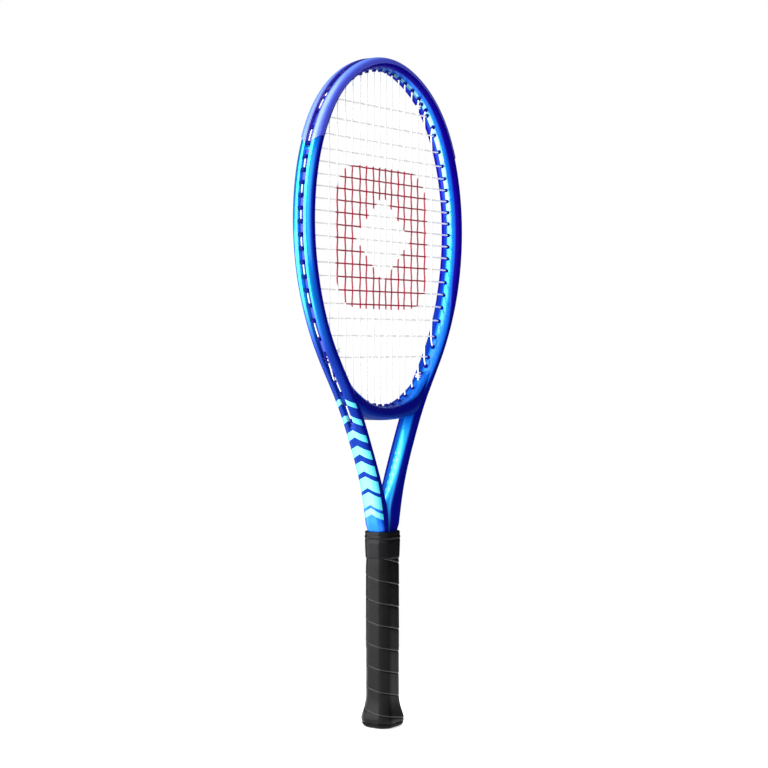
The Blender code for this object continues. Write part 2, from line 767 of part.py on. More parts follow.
def rounded_octagon(half_x, half_y, corner, z, bevel=1.2 * MM):
    """The same ring with each corner cut once more."""
    ring = [Vector(point) for point in octagon(half_x, half_y, corner, z)]
    made = []
    for i, point in enumerate(ring):
        for other in (ring[i - 1], ring[(i + 1) % len(ring)]):
            made.append(point + (other - point).normalized() * bevel)
    return made


def handle_ring(z, inset=0.0, flare=0.0):
    """The grip's section at a height, inset from its outer face and flared at the butt."""
    size = flare - inset
    corner = GRIP_CORNER + 0.3 * size
    return rounded_octagon(GRIP_X + size, GRIP_Y + size, corner, z)


def make_pallets(finish):
    """Two foam halves round the shafts, split through the string bed."""
    levels = [
        (PALLET_FOOT_Z, GRIP_THICKNESS + GAP + PALLET_SKIN, FOOT_CHANNEL),
        (PALLET_STEP_Z, GRIP_THICKNESS + GAP + PALLET_SKIN, FOOT_CHANNEL),
        (PALLET_STEP_Z + PALLET_CHAMFER, GRIP_THICKNESS + GAP, FOOT_CHANNEL),
        (PALLET_STEP_Z + 4 * MM, GRIP_THICKNESS + GAP, FOOT_CHANNEL),
        (PALLET_STEP_Z + 4 * MM + PALLET_CHAMFER, GRIP_THICKNESS + GAP, SHAFT_CHANNEL),
        (PALLET_TOP_Z, GRIP_THICKNESS + GAP, SHAFT_CHANNEL),
    ]
    seam = GAP / 2
    for sign, side in ((-1, "front"), (1, "back")):
        rings = []
        for z, inset, (in_x, in_y) in levels:
            x = GRIP_X - inset
            back_half = [(p.x, p.y) for p in handle_ring(z, inset) if p.y > 0]
            back_half.sort(key=lambda p: math.atan2(p[1], p[0]))
            outline = [(x, seam), *back_half, (-x, seam)]
            outline += [(-in_x, seam), (-in_x, in_y - CHANNEL_CORNER), (-in_x + CHANNEL_CORNER, in_y)]
            outline += [(in_x - CHANNEL_CORNER, in_y), (in_x, in_y - CHANNEL_CORNER), (in_x, seam)]
            rings.append([(px, sign * py, z) for px, py in outline])
        bm = bmesh.new()
        add_loft(bm, rings)
        pallet = add_object("handle_pallet_" + side, bm, finish)
        boolean(pallet, staple_slots("pallet_slots_" + side))


def add_staple(bm, place, clearance=0.0):
    """A U of square wire: its back runs along X and its legs inwards. With clearance it is a cutter."""
    side, centre, face, z, leg = place
    back = face + (STAPLE_WIRE if clearance else 0.0)
    crown = face - STAPLE_WIRE - clearance
    tip = face - leg - clearance
    span = STAPLE_HALF_SPAN + clearance
    inner = STAPLE_HALF_SPAN - STAPLE_WIRE - clearance
    outline = [(-span, back), (span, back), (span, tip), (inner, tip)]
    outline += [(inner, crown), (-inner, crown), (-inner, tip), (-span, tip)]
    half = STAPLE_WIRE / 2 + clearance
    rings = [[(centre + x, side * y, z + dz) for x, y in outline] for dz in (-half, half)]
    add_loft(bm, rings)


def staple_slots(name):
    bm = bmesh.new()
    for place in STAPLES.values():
        add_staple(bm, place, GAP)
    return add_object(name, bm)


def make_staples(finish):
    for name, place in STAPLES.items():
        bm = bmesh.new()
        add_staple(bm, place)
        add_object(name, bm, finish)


def make_butt_cap(finish):
    """A flared cup over the pallet's foot, with an opening for the trap door."""
    skin = GRIP_THICKNESS + GAP
    step_in = (BUTT_LIP[-1][0], BUTT_FLARE[0][1])
    outer = [handle_ring(z * MM, 0.0, flare * MM) for z, flare in BUTT_LIP]
    outer += [handle_ring(z * MM, skin, flare * MM) for z, flare in [step_in] + BUTT_FLARE[1:-1]]
    outer.append(handle_ring(PALLET_STEP_Z - GAP, skin))
    socket = skin + PALLET_SKIN - GAP
    x, y, corner = DOOR_HALF
    ledge_z = DOOR_RECESS + DOOR_PLATE + GAP
    inner = [
        rounded_octagon(x, y, corner, 0.0, 0.5 * MM),
        rounded_octagon(x, y, corner, ledge_z, 0.5 * MM),
        rounded_octagon(x - DOOR_LEDGE, y - DOOR_LEDGE, corner, ledge_z, 0.5 * MM),
        rounded_octagon(x - DOOR_LEDGE, y - DOOR_LEDGE, corner, PALLET_FOOT_Z - GAP, 0.5 * MM),
        handle_ring(PALLET_FOOT_Z - GAP, socket),
        handle_ring(PALLET_STEP_Z - GAP, socket),
    ]
    bm = bmesh.new()
    add_sleeve(bm, outer, inner)
    cap = add_object("butt_cap", bm, finish)
    boolean(cap, staple_slots("cap_slots"))


def make_door(finish):
    """A plate with a hollow plug above it, open upwards, that snaps into the butt cap."""
    x, y, corner = (size - GAP for size in DOOR_HALF)
    plate_top = DOOR_RECESS + DOOR_PLATE
    plug_top = PALLET_FOOT_Z - 1.5 * MM
    inset = DOOR_LEDGE
    wall = 1.2 * MM
    rings = [
        rounded_octagon(x, y, corner, DOOR_RECESS, 0.5 * MM),
        rounded_octagon(x, y, corner, plate_top, 0.5 * MM),
        rounded_octagon(x - inset, y - inset, corner, plate_top, 0.5 * MM),
        rounded_octagon(x - inset, y - inset, corner, plug_top, 0.5 * MM),
        rounded_octagon(x - inset - wall, y - inset - wall, corner, plug_top, 0.5 * MM),
        rounded_octagon(x - inset - wall, y - inset - wall, corner, plate_top, 0.5 * MM),
    ]
    bm = bmesh.new()
    add_loft(bm, rings)
    add_object("butt_cap_door", bm, finish)


def make_grip(finish):
    """The wrap as one sleeve over the pallet and the butt cap's flare, thinner under the collar."""
    outer, inner = [], []
    for z, flare in BUTT_FLARE:
        outer.append(handle_ring(z * MM, 0.0, flare * MM))
        inner.append(handle_ring(z * MM, GRIP_THICKNESS, flare * MM))
    for z, thinner in ((160 * MM, 0.0), (173 * MM, 0.5 * MM), (GRIP_TOP_Z, 0.7 * MM)):
        outer.append(handle_ring(z, thinner))
        inner.append(handle_ring(z, GRIP_THICKNESS))
    bm = bmesh.new()
    add_sleeve(bm, outer, inner)
    add_object("grip_wrap", bm, finish)


def make_tape(finish):
    outer = [handle_ring(z, 0.1 * MM) for z in TAPE_ENDS]
    inner = [handle_ring(z, 0.3 * MM) for z in TAPE_ENDS]
    bm = bmesh.new()
    add_sleeve(bm, outer, inner)
    add_object("finishing_tape", bm, finish)


def make_collar(finish):
    """A rubber sleeve over the end of the wrap, with a neck that closes in on the shafts."""
    outer = [handle_ring(z * MM, 0.0, growth * MM) for z, growth in COLLAR_OUTER]
    inner = [handle_ring(COLLAR_OUTER[0][0] * MM, 0.0, 0.1 * MM)]
    inner += [handle_ring(z, 0.0, 0.2 * MM) for z in COLLAR_SEAT]
    inner.append(rounded_octagon(*COLLAR_NECK, COLLAR_NECK_Z))
    inner.append(rounded_octagon(*COLLAR_NECK, COLLAR_OUTER[-1][0] * MM))
    bm = bmesh.new()
    add_sleeve(bm, outer, inner)
    add_object("grip_collar", bm, finish)


def main():
    clear_scene()
    blue = material("frame_lacquer", BLUE, 0.25, 0.6)
    make_hairpin(blue)
    make_bridge(blue)
    make_bumper(material("bumper_nylon", PERIWINKLE, 0.45))
    grommet = material("grommet_nylon", NAVY, 0.4)
    make_side_strips(grommet)
    make_throat_strip(grommet)
    string = material("string", WHITE, 0.35)
    make_main_string(string)
    make_cross_string(string)
    make_pallets(material("pallet_foam", FOAM, 0.8))
    black_plastic = material("butt_plastic", BLACK, 0.45)
    make_butt_cap(black_plastic)
    make_door(black_plastic)
    make_staples(material("staple_steel", STEEL, 0.3, 1.0))
    make_grip(material("grip_leather", BLACK, 0.5))
    make_tape(material("tape_vinyl", BLACK, 0.35))
    make_collar(material("collar_rubber", BLACK, 0.6))


main()
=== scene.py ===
"""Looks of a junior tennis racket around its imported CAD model."""

import math

import bmesh
import bpy
import numpy as np
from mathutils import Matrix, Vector
from numpy.linalg import norm


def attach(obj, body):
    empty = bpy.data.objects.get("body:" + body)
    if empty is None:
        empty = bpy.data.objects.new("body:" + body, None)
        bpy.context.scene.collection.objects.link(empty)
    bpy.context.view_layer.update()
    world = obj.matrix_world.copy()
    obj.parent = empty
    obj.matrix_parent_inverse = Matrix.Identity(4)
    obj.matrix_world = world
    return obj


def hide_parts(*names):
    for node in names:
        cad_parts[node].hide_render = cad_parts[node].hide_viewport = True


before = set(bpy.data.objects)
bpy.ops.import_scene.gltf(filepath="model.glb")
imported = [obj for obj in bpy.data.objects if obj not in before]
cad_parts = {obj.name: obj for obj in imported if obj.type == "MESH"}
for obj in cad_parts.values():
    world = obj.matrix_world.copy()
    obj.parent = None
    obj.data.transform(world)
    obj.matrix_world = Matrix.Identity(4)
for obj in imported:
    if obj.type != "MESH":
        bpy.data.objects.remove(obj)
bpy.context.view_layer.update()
MM = 0.001

GAP = 0.3 * MM  # clearance between pieces that touch

# Frame: half outline of the hoop and shaft from the tip to the collar, as (half width, height)
OUTLINE = [
    (0.0, 659.7),
    (48.0, 649.0),
    (96.0, 613.4),
    (122.2, 567.0),
    (134.4, 494.0),
    (125.0, 429.0),
    (97.1, 367.6),
    (65.4, 321.0),
    (42.3, 278.0),
    (25.6, 238.0),
    (16.4, 200.0),
]
WALL = 12 * MM  # nominal thickness of the frame in the plane of the strings
RAY_REACH = 2.2 * WALL  # an eyelet's ray leaves the frame within this
WALL_BY_HEIGHT = [(300, 12.0), (345, 10.0), (385, 9.7), (440, 12.2), (598, 12.0), (630, 9.8)]
WALL_BY_HEIGHT += [(660, 11.0)]
THROAT_FOOT_Z = 217 * MM  # where the inner sides of the shafts meet
THROAT_SLOPE = 0.478  # half width of the throat gap per unit of height
HOOP_FOOT_Z = 300 * MM  # above this the thickness follows WALL_BY_HEIGHT
GROOVE_DEPTH = 4.2 * MM
GROOVE_END_Z = 296 * MM
BUMPER_END_Z = 563 * MM
TANG = [(194.5, 14.7, 0.93), (183.0, 10.6, 0.72), (40.0, 10.6, 0.72)]  # z, half width, depth share

# Bridge
BRIDGE_TOP_Z = 317.5 * MM
BRIDGE_TOP_R = 92 * MM
BRIDGE_FOOT_Z = 304 * MM
BRIDGE_REACH = 80 * MM  # half length of the bow, whose ends lie in the inner walls of the hoop
BRIDGE_SINKS = (64 * MM, 16 * MM, 5 * MM)  # from this width, over this length, by this depth
BRIDGE_NARROWS = (48 * MM, 12 * MM, 0.2)  # from this width, over this length, by this share

# String bed
STRING_R = 0.74 * MM
MAIN_WEAVE = 0.46 * MM  # how far the mains and the crosses swing where they cross
CROSS_WEAVE = 1.04 * MM
BEND_LENGTH = 4.0 * MM  # longest rounding of a string's corner
MAINS_A_SIDE = 8
LANE = 0.75 * MM  # mains run in the front lane of the groove, crosses in the back lane
FIRST_MAIN = 5.4 * MM
MAIN_STEP = 10.1 * MM
MAIN_SPREAD = 0.06 * MM  # growth of the steps with the square of their number
MAIN_WIDE_EXTRA = {2: 1.9 * MM, 4: 1.9 * MM, 6: 0.6 * MM}  # the steps after these mains
CROSS_COUNT = 19
CROSS_TOP_Z = 611.8 * MM
CROSS_STEP = 11.4 * MM
CROSS_END_EXTRA = 7.2 * MM  # the first and the last step are this much wider
CROSS_SPREAD = 0.2 * MM
WALL_CLEARANCE = 1.0 * MM  # strings don't cross nearer to a cross's ends than this
FOOT_CLEARANCE = 2.0 * MM  # nor nearer to a main's ends than this

# Grommets
NUB = 1.8 * MM  # how far a barrel stands out of the inner wall
STRIP_TOP = 3.1 * MM
STRIP_FOOT = 3.9 * MM
STRIP_HALF_WIDTH = 2.5 * MM
STRIP_STEP = 4 * MM
STRIP_FLAT_SHARE = 0.86  # of its half width, with a bevel outside it
STRIP_BEVEL = 0.3 * MM
FLANGE_RISE = 0.55 * MM  # how far a barrel's flange stands over its strip
BARREL_LIP = 0.5 * MM
SHADE_HOOD = 2.2 * MM  # from there to the barrel's closed outer end, over its string's turn: a navy hood that stands in for the shaded recess there, painted shade
STRING_DEPTH = 2.2 * MM  # centre of a string that lies in the groove
RAISED_DEPTH = 0.7 * MM  # centre of a string that crosses over another one there
BEND_OUT = 0.8 * MM  # a string turns this far outside the end of a barrel
NUB_EXTRA = 0.5 * MM  # the round end of a barrel stands out this much more
GROOVE_STRING_STEP = 13 * MM
EYELET_TURN = 0.35  # share of a string's own direction in its eyelet's
KNOT_R = 2.1 * MM
KNOT_TURNS = 1.6
KNOT_SIDES = 8  # points per turn
KNOT_HEIGHT = 3.5 * MM
KNOT_LEAD = math.pi / 5  # angle from the tail to the first turn
KNOT_DROP = 1.5 * MM  # from the main string's tie-off eyelets down to its knots
TIE_OFFSET = 6.0 * MM  # from the eyelet of the seventh main to the tie-off eyelet beside it
TIE_RISE = 4.0 * MM  # from that main's eyelet to where the tail rises over its string
SHAFT_MAIN_EXITS = {3: 303 * MM, 4: 320 * MM}  # heights where these mains leave the shafts

# Handle: half sizes in X and Y, and the 45 degree corner, at the middle of the grip
GRIP_X = 14.8 * MM
GRIP_Y = 13.9 * MM
GRIP_CORNER = 6.4 * MM
GRIP_TOP_Z = 186 * MM
HANDLE_SIDES = 96
# Height and growth beyond the grip, in mm
BUTT_FLARE = [(4.8, 3.7), (9.0, 3.7), (13.0, 2.9), (17.0, 1.9), (21.0, 1.0), (26.0, 0.35)]
BUTT_FLARE += [(31.0, 0.0)]
GRIP_PITCH = 22 * MM
GRIP_TURN = -1.0  # the wrap climbs clockwise
GRIP_SWELL = 0.5 * MM  # the wound strip is fuller than its CAD sleeve by this, all round
GRIP_FULLNESS = 1.12  # times BUTT_FLARE
GRIP_THINNING = [(160, 0.0), (173, 0.6)]  # height and loss of growth under the collar, in mm
GRIP_EDGE = (2.0 * MM, 0.8 * MM)  # height and depth of the rounding at the butt end
STRIP_SKIN = 1.1 * MM


def by_height(table, z):
    """The value at a height, from a table of (height, value) in mm."""
    heights, values = zip(*table)
    return np.interp(z / MM, heights, values) * MM


def under(point, normal, depth, y):
    """The point at this depth under the outline."""
    return point[0] - normal[0] * depth, y, point[1] - normal[1] * depth


def spline(points, per_span=40):
    """Points along the natural cubic spline through the given points, by chord length."""
    p = np.array(points, float)
    h = norm(np.diff(p, axis=0), axis=1)
    n = len(p)
    left = np.eye(n)
    right = np.zeros_like(p)
    for i in range(1, n - 1):
        left[i, i - 1 : i + 2] = h[i - 1], 2 * (h[i - 1] + h[i]), h[i]
        right[i] = 6 * ((p[i + 1] - p[i]) / h[i] - (p[i] - p[i - 1]) / h[i - 1])
    m = np.linalg.solve(left, right)
    out = []
    for i in range(n - 1):
        for step in range(per_span):
            u = h[i] * step / per_span
            w = h[i] - u
            bent = (m[i] * w**3 + m[i + 1] * u**3) / (6 * h[i])
            flat = (p[i] / h[i] - m[i] * h[i] / 6) * w + (p[i + 1] / h[i] - m[i + 1] * h[i] / 6) * u
            out.append(bent + flat)
    out.append(p[-1])
    return np.array(out)


class Hoop:
    """The frame's outline, by signed arc length from the tip: positive towards +X."""

    def __init__(self):
        half = [(x * MM, z * MM) for x, z in OUTLINE]
        whole = spline([(-x, z) for x, z in half[:0:-1]] + half)
        middle = len(whole) // 2
        self.p = whole[middle:]
        along = np.gradient(self.p, axis=0)
        along /= norm(along, axis=1)[:, None]
        self.n = np.stack([-along[:, 1], along[:, 0]], axis=1)
        self.n[0] = (0.0, 1.0)
        steps = norm(np.diff(self.p, axis=0), axis=1)
        self.s = np.concatenate([[0.0], np.cumsum(steps)])
        self.end = self.s[-1]
        self.wall = by_height(WALL_BY_HEIGHT, self.p[:, 1])

    def at(self, s):
        """(point, outward normal), each as (x, z)."""
        side = 1.0 if s >= 0 else -1.0
        point = [np.interp(abs(s), self.s, self.p[:, k]) for k in (0, 1)]
        normal = [np.interp(abs(s), self.s, self.n[:, k]) for k in (0, 1)]
        size = math.hypot(*normal)
        return (side * point[0], point[1]), (side * normal[0] / size, normal[1] / size)

    def past_wall(self, extra):
        """The line that lies extra inside the inner wall."""
        return self.p - self.n * (self.wall + extra)[:, None]

    def s_at_height(self, z):
        return float(np.interp(-z, -self.p[:, 1], self.s))

    def s_where_ray_leaves(self, start, way):
        """Arc length where a ray from a point near the inner wall crosses the outline."""
        ahead = self.p - np.array(start)
        aside = ahead[:, 0] * way[1] - ahead[:, 1] * way[0]
        near = norm(ahead, axis=1) < RAY_REACH
        return float(np.interp(0.0, aside[near], self.s[near]))

    def s_past_wall_at_height(self, z, extra):
        line = self.past_wall(extra)
        head = line[:, 1] > HOOP_FOOT_Z
        return float(np.interp(-z, -line[head, 1], self.s[head]))

    def s_past_wall_at_width(self, x, extra, top):
        """Where the line that lies extra inside the inner wall is x from the middle."""
        widths = self.past_wall(extra)[:, 0]
        widest = int(np.argmax(widths))
        if top:
            return float(np.interp(x, widths[:widest], self.s[:widest]))
        return float(np.interp(-x, -widths[widest:], self.s[widest:]))


HOOP = Hoop()


def wall_at(point, normal):
    """Thickness of the frame, from the outline to its inner side."""
    x, z = abs(point[0]), point[1]
    nx, nz = abs(normal[0]), normal[1]
    if z > HOOP_FOOT_Z:
        return float(by_height(WALL_BY_HEIGHT, z))
    to_gap = (x - GAP - THROAT_SLOPE * (z - THROAT_FOOT_Z)) / (nx - THROAT_SLOPE * nz)
    to_middle = (x - GAP) / nx
    return min(to_gap, to_middle)


def stations(start, stop, step):
    count = max(2, math.ceil(abs(stop - start) / step) + 1)
    return list(np.linspace(start, stop, count))


def main_places():
    """Distances of the mains from the middle."""
    x = FIRST_MAIN
    places = [x]
    for i in range(1, MAINS_A_SIDE):
        x += MAIN_STEP + MAIN_SPREAD * i**2 + MAIN_WIDE_EXTRA.get(i, 0.0)
        places.append(x)
    return places


def cross_heights():
    """Heights of the crosses, closest just below the middle of the head."""
    last = CROSS_COUNT - 2
    z = CROSS_TOP_Z
    heights = [z]
    for i in range(last + 1):
        from_top = max(0.0, 1 - i / 5) ** 2
        from_foot = max(0.0, 1 - (last - i) / 4) ** 3
        z -= CROSS_STEP + CROSS_END_EXTRA * (from_top + from_foot) + CROSS_SPREAD * max(0, i - 6)
        heights.append(z)
    return heights


MAINS = main_places()
CROSSES = cross_heights()


class Eyelet:
    """One grommet hole, from a point on the outline in to a point off the inner wall."""

    def __init__(self, outer, inner, normal, lane, s=None):
        self.outer = Vector((outer[0], lane, outer[1]))
        self.inner = Vector((inner[0], lane, inner[1]))
        self.axis = (self.inner - self.outer).normalized()
        self.cosine = -(self.axis.x * normal[0] + self.axis.z * normal[1])
        self.s = s

    def at_depth(self, depth):
        return self.outer + self.axis * (depth / self.cosine)


def square_eyelet(s, lane):
    """An eyelet square to the outline at arc length s."""
    point, normal = HOOP.at(s)
    x, _, z = under(point, normal, wall_at(point, normal) + NUB + BEND_OUT, lane)
    return Eyelet(point, (x, z), normal, lane, s)


def string_eyelet(sign, inner_s, string_way, lane):
    """An eyelet for the string that arrives at inner_s, turned a little towards that string."""
    start = square_eyelet(inner_s, lane).inner
    way = Vector(HOOP.at(inner_s)[1]) * (1 - EYELET_TURN) + Vector(string_way) * EYELET_TURN
    s = HOOP.s_where_ray_leaves((start.x, start.z), way)
    point, normal = HOOP.at(s)
    outer, inner = (sign * point[0], point[1]), (sign * start.x, start.z)
    return Eyelet(outer, inner, (sign * normal[0], normal[1]), lane, sign * s)


def shaft_eyelet(sign, x, exit_z, lane):
    """A long eyelet from the bridge's bow down and out through the shaft."""
    s = sign * HOOP.s_at_height(exit_z)
    point, normal = HOOP.at(s)
    return Eyelet(point, (sign * x, bow_height(x) + NUB + BEND_OUT), normal, lane, s)


def bow_height(x):
    """Top of the bridge: an arc."""
    return BRIDGE_TOP_Z + BRIDGE_TOP_R - math.sqrt(BRIDGE_TOP_R**2 - x**2)


def bridge_foot(x):
    """Underside of the bridge: nearly flat between the shafts, then rising inside them."""
    share = abs(x) / (45 * MM)
    return BRIDGE_FOOT_Z + (3.0 * share**2 + 1.5 * share**6) * MM


def bridge_eyelet(x, lane):
    outer = (x, bridge_foot(x))
    inner = (x, bow_height(x) + NUB + BEND_OUT)
    return Eyelet(outer, inner, (0.0, -1.0), lane)


def make_eyelets():
    """Every eyelet by what runs through it: (string, index, end) with the sign of its side."""
    reach = NUB + BEND_OUT
    found = {}
    for sign in (-1, 1):
        for i, x in enumerate(MAINS):
            s_top = HOOP.s_past_wall_at_width(x, reach, top=True)
            found["main", sign, i, "top"] = string_eyelet(sign, s_top, (0.0, 1.0), -LANE)
            if i < 3:
                foot = bridge_eyelet(sign * x, -LANE)
            elif i in SHAFT_MAIN_EXITS:
                foot = shaft_eyelet(sign, x, SHAFT_MAIN_EXITS[i], -LANE)
            else:
                s_foot = HOOP.s_past_wall_at_width(x, reach, top=False)
                foot = string_eyelet(sign, s_foot, (0.0, -1.0), -LANE)
            found["main", sign, i, "foot"] = foot
        for j, z in enumerate(CROSSES):
            s_side = HOOP.s_past_wall_at_height(z, reach)
            found["cross", sign, j] = string_eyelet(sign, s_side, (1.0, 0.0), LANE)
    for sign in (-1, 1):
        beside = found["main", sign, 6, "foot"].s
        found["tie_main", sign] = square_eyelet(beside + sign * TIE_OFFSET, LANE)
    found["tie_start", 1] = square_eyelet(found["main", 1, 6, "top"].s - TIE_OFFSET, LANE)
    between = (found["main", -1, 7, "foot"].s + found["cross", -1, CROSS_COUNT - 1].s) / 2
    found["tie_end", -1] = square_eyelet(between, LANE)
    return found


EYELETS = make_eyelets()


def crossing_sign(sign, i, j):
    """Which way a main swings at cross j, by its number from the left."""
    number = MAINS_A_SIDE - 1 - i if sign < 0 else MAINS_A_SIDE + i
    return 1.0 if (number + j) % 2 == 0 else -1.0


def main_run(sign, i):
    """Points of one main, from its foot eyelet up to its top one."""
    foot, top = EYELETS["main", sign, i, "foot"], EYELETS["main", sign, i, "top"]
    points = [foot.at_depth(STRING_DEPTH), foot.inner.copy()]
    for j in reversed(range(CROSS_COUNT)):
        z = CROSSES[j]
        reaches = MAINS[i] < EYELETS["cross", 1, j].inner.x - WALL_CLEARANCE
        if reaches and foot.inner.z + FOOT_CLEARANCE < z < top.inner.z - FOOT_CLEARANCE:
            swing = MAIN_WEAVE * crossing_sign(sign, i, j)
            points.append(Vector((sign * MAINS[i], swing, z)))
    return points + [top.inner.copy(), top.at_depth(STRING_DEPTH)]


def cross_run(j):
    """Points of one cross, from left to right."""
    left, right = EYELETS["cross", -1, j], EYELETS["cross", 1, j]
    points = [left.at_depth(STRING_DEPTH), left.inner.copy()]
    sides = [(-1, i) for i in reversed(range(MAINS_A_SIDE))]
    sides += [(1, i) for i in range(MAINS_A_SIDE)]
    for sign, i in sides:
        low = EYELETS["main", sign, i, "foot"].inner.z + FOOT_CLEARANCE
        high = EYELETS["main", sign, i, "top"].inner.z - FOOT_CLEARANCE
        if MAINS[i] < right.inner.x - WALL_CLEARANCE and low < CROSSES[j] < high:
            swing = -CROSS_WEAVE * crossing_sign(sign, i, j)
            points.append(Vector((sign * MAINS[i], swing, CROSSES[j])))
    return points + [right.inner.copy(), right.at_depth(STRING_DEPTH)]


def groove_point(s, depth, lane):
    return Vector(under(*HOOP.at(s), depth, lane))


def groove_run(start, end, lane):
    """Points of a string lying in the groove, without those at its ends."""
    places = stations(start, end, GROOVE_STRING_STEP)[1:-1]
    return [groove_point(s, STRING_DEPTH, lane) for s in places]


def knot(eyelet, sign, i, heights):
    """A tail that comes in through its eyelet and winds round the main beside it."""
    first, last = heights
    run = main_run(sign, i)
    centre_x = sign * MAINS[i]
    centre_y = float(np.interp(first, [p.z for p in run], [p.y for p in run]))
    start = eyelet.inner
    towards = math.atan2(start.y - centre_y, start.x - centre_x)
    points = [start.copy()]
    count = round(KNOT_TURNS * KNOT_SIDES)
    for k in range(count + 1):
        angle = towards + KNOT_LEAD + 2 * math.pi * k / KNOT_SIDES
        x, y = centre_x + KNOT_R * math.cos(angle), centre_y + KNOT_R * math.sin(angle)
        points.append(Vector((x, y, first + (last - first) * k / count)))
    return points


def main_path():
    """The main string's whole length, from the lower left knot to the lower right one."""
    halves = []
    for sign in (-1, 1):
        points = []
        for i in range(MAINS_A_SIDE):
            run = main_run(sign, i)
            points += run if i % 2 == 0 else run[::-1]
            if i == MAINS_A_SIDE - 1:
                break
            end = "top" if i % 2 == 0 else "foot"
            here, there = EYELETS["main", sign, i, end], EYELETS["main", sign, i + 1, end]
            if here.s is not None:
                points += groove_run(here.s, there.s, -LANE)
        last, tie = EYELETS["main", sign, 7, "foot"], EYELETS["tie_main", sign]
        before = EYELETS["main", sign, 6, "foot"].s - sign * TIE_RISE
        points += groove_run(last.s, before, -LANE)
        points += [groove_point(before, RAISED_DEPTH, -LANE), tie.at_depth(RAISED_DEPTH)]
        first = tie.inner.z - KNOT_DROP
        points += knot(tie, sign, 5, (first, first - KNOT_HEIGHT))
        halves.append(points)
    return halves[0][::-1] + halves[1]


def cross_path():
    """The cross string's whole length, from the upper right knot to the lower left one."""
    start = EYELETS["tie_start", 1]
    points = knot(start, 1, 5, (start.inner.z, start.inner.z - KNOT_HEIGHT))[::-1]
    points.append(start.at_depth(STRING_DEPTH))
    points += groove_run(start.s, EYELETS["cross", 1, 0].s, LANE)
    for j in range(CROSS_COUNT):
        run = cross_run(j)
        going_left = j % 2 == 0
        points += run[::-1] if going_left else run
        if j + 1 < CROSS_COUNT:
            sign = -1 if going_left else 1
            points += groove_run(EYELETS["cross", sign, j].s, EYELETS["cross", sign, j + 1].s, LANE)
    end = EYELETS["tie_end", -1]
    points += groove_run(EYELETS["cross", -1, CROSS_COUNT - 1].s, end.s, LANE)
    points.append(end.at_depth(STRING_DEPTH))
    points += knot(end, -1, 6, (end.inner.z, end.inner.z + KNOT_HEIGHT))
    return points


# ---- materials

# Colours of the lacquer, including painted reflections and highlights
DEEP, SHAFT_DEEP = (0.004, 0.0, 0.20), (0.001, 0.002, 0.155)  # flat faces, above and below
ELECTRIC, CYAN_REFLECTION = (0.0, 0.17, 0.92), (0.03, 0.66, 0.98)  # rounded sides: electric blue is partly the paint's second tone and partly painted reflection, cyan is a painted reflection
MINT_HIGHLIGHT, PALE_HIGHLIGHT = (0.03, 0.50, 0.80), (0.30, 0.78, 0.88)  # painted highlight on the innermost side of the head
BAR_EDGE, BAR_FACE = (0.20, 0.70, 0.66), (0.04, 0.45, 0.56)
MARK = (0.35, 0.75, 0.95)

# Generic bars on the outer sides of both shafts, and rows of dashes on their inner sides
BARS = (0.212, 0.330)
BAR_PITCH = 0.0169
BAR_SHARE = (0.80, 0.30)  # of the pitch, at the lower and the upper end
BAR_SLANT = 0.5
BAR_START = 0.1
SHAFTS = (0.2, 0.21)  # distance along the outline from the tip
MARKS = (0.232, 0.275, 0.0005)
MARK_ROWS = (0.0012, 0.0026, 0.0002)
MARK_PITCH = 0.0075
MARK_DASH = (0.2, 0.6, 0.04)

# Stencilled panel on the strings
STENCIL_Z = 483 * MM
STENCIL_HALF = (79 * MM, 70 * MM)
STENCIL_CORNER = 5.0  # power of the rounded rectangle
STENCIL_OPENING = (0.60, 0.62)
INK = (0.28, 0.001, 0.026)


class Tree:
    """Short calls for building a node tree."""

    def __init__(self, tree):
        self.tree = tree

    def node(self, kind, inputs=(), **settings):
        """A node with these settings, and values for its inputs, in order or by their keys."""
        made = self.tree.nodes.new("ShaderNode" + kind)
        for key, value in settings.items():
            setattr(made, key, value)
        for key, value in inputs.items() if isinstance(inputs, dict) else enumerate(inputs):
            self.put(value, made.inputs[key])
        return made

    def put(self, value, socket):
        if isinstance(value, bpy.types.NodeSocket):
            self.tree.links.new(value, socket)
        elif isinstance(value, tuple) and len(socket.default_value) == 4:
            socket.default_value = (*value, 1.0)
        else:
            socket.default_value = value


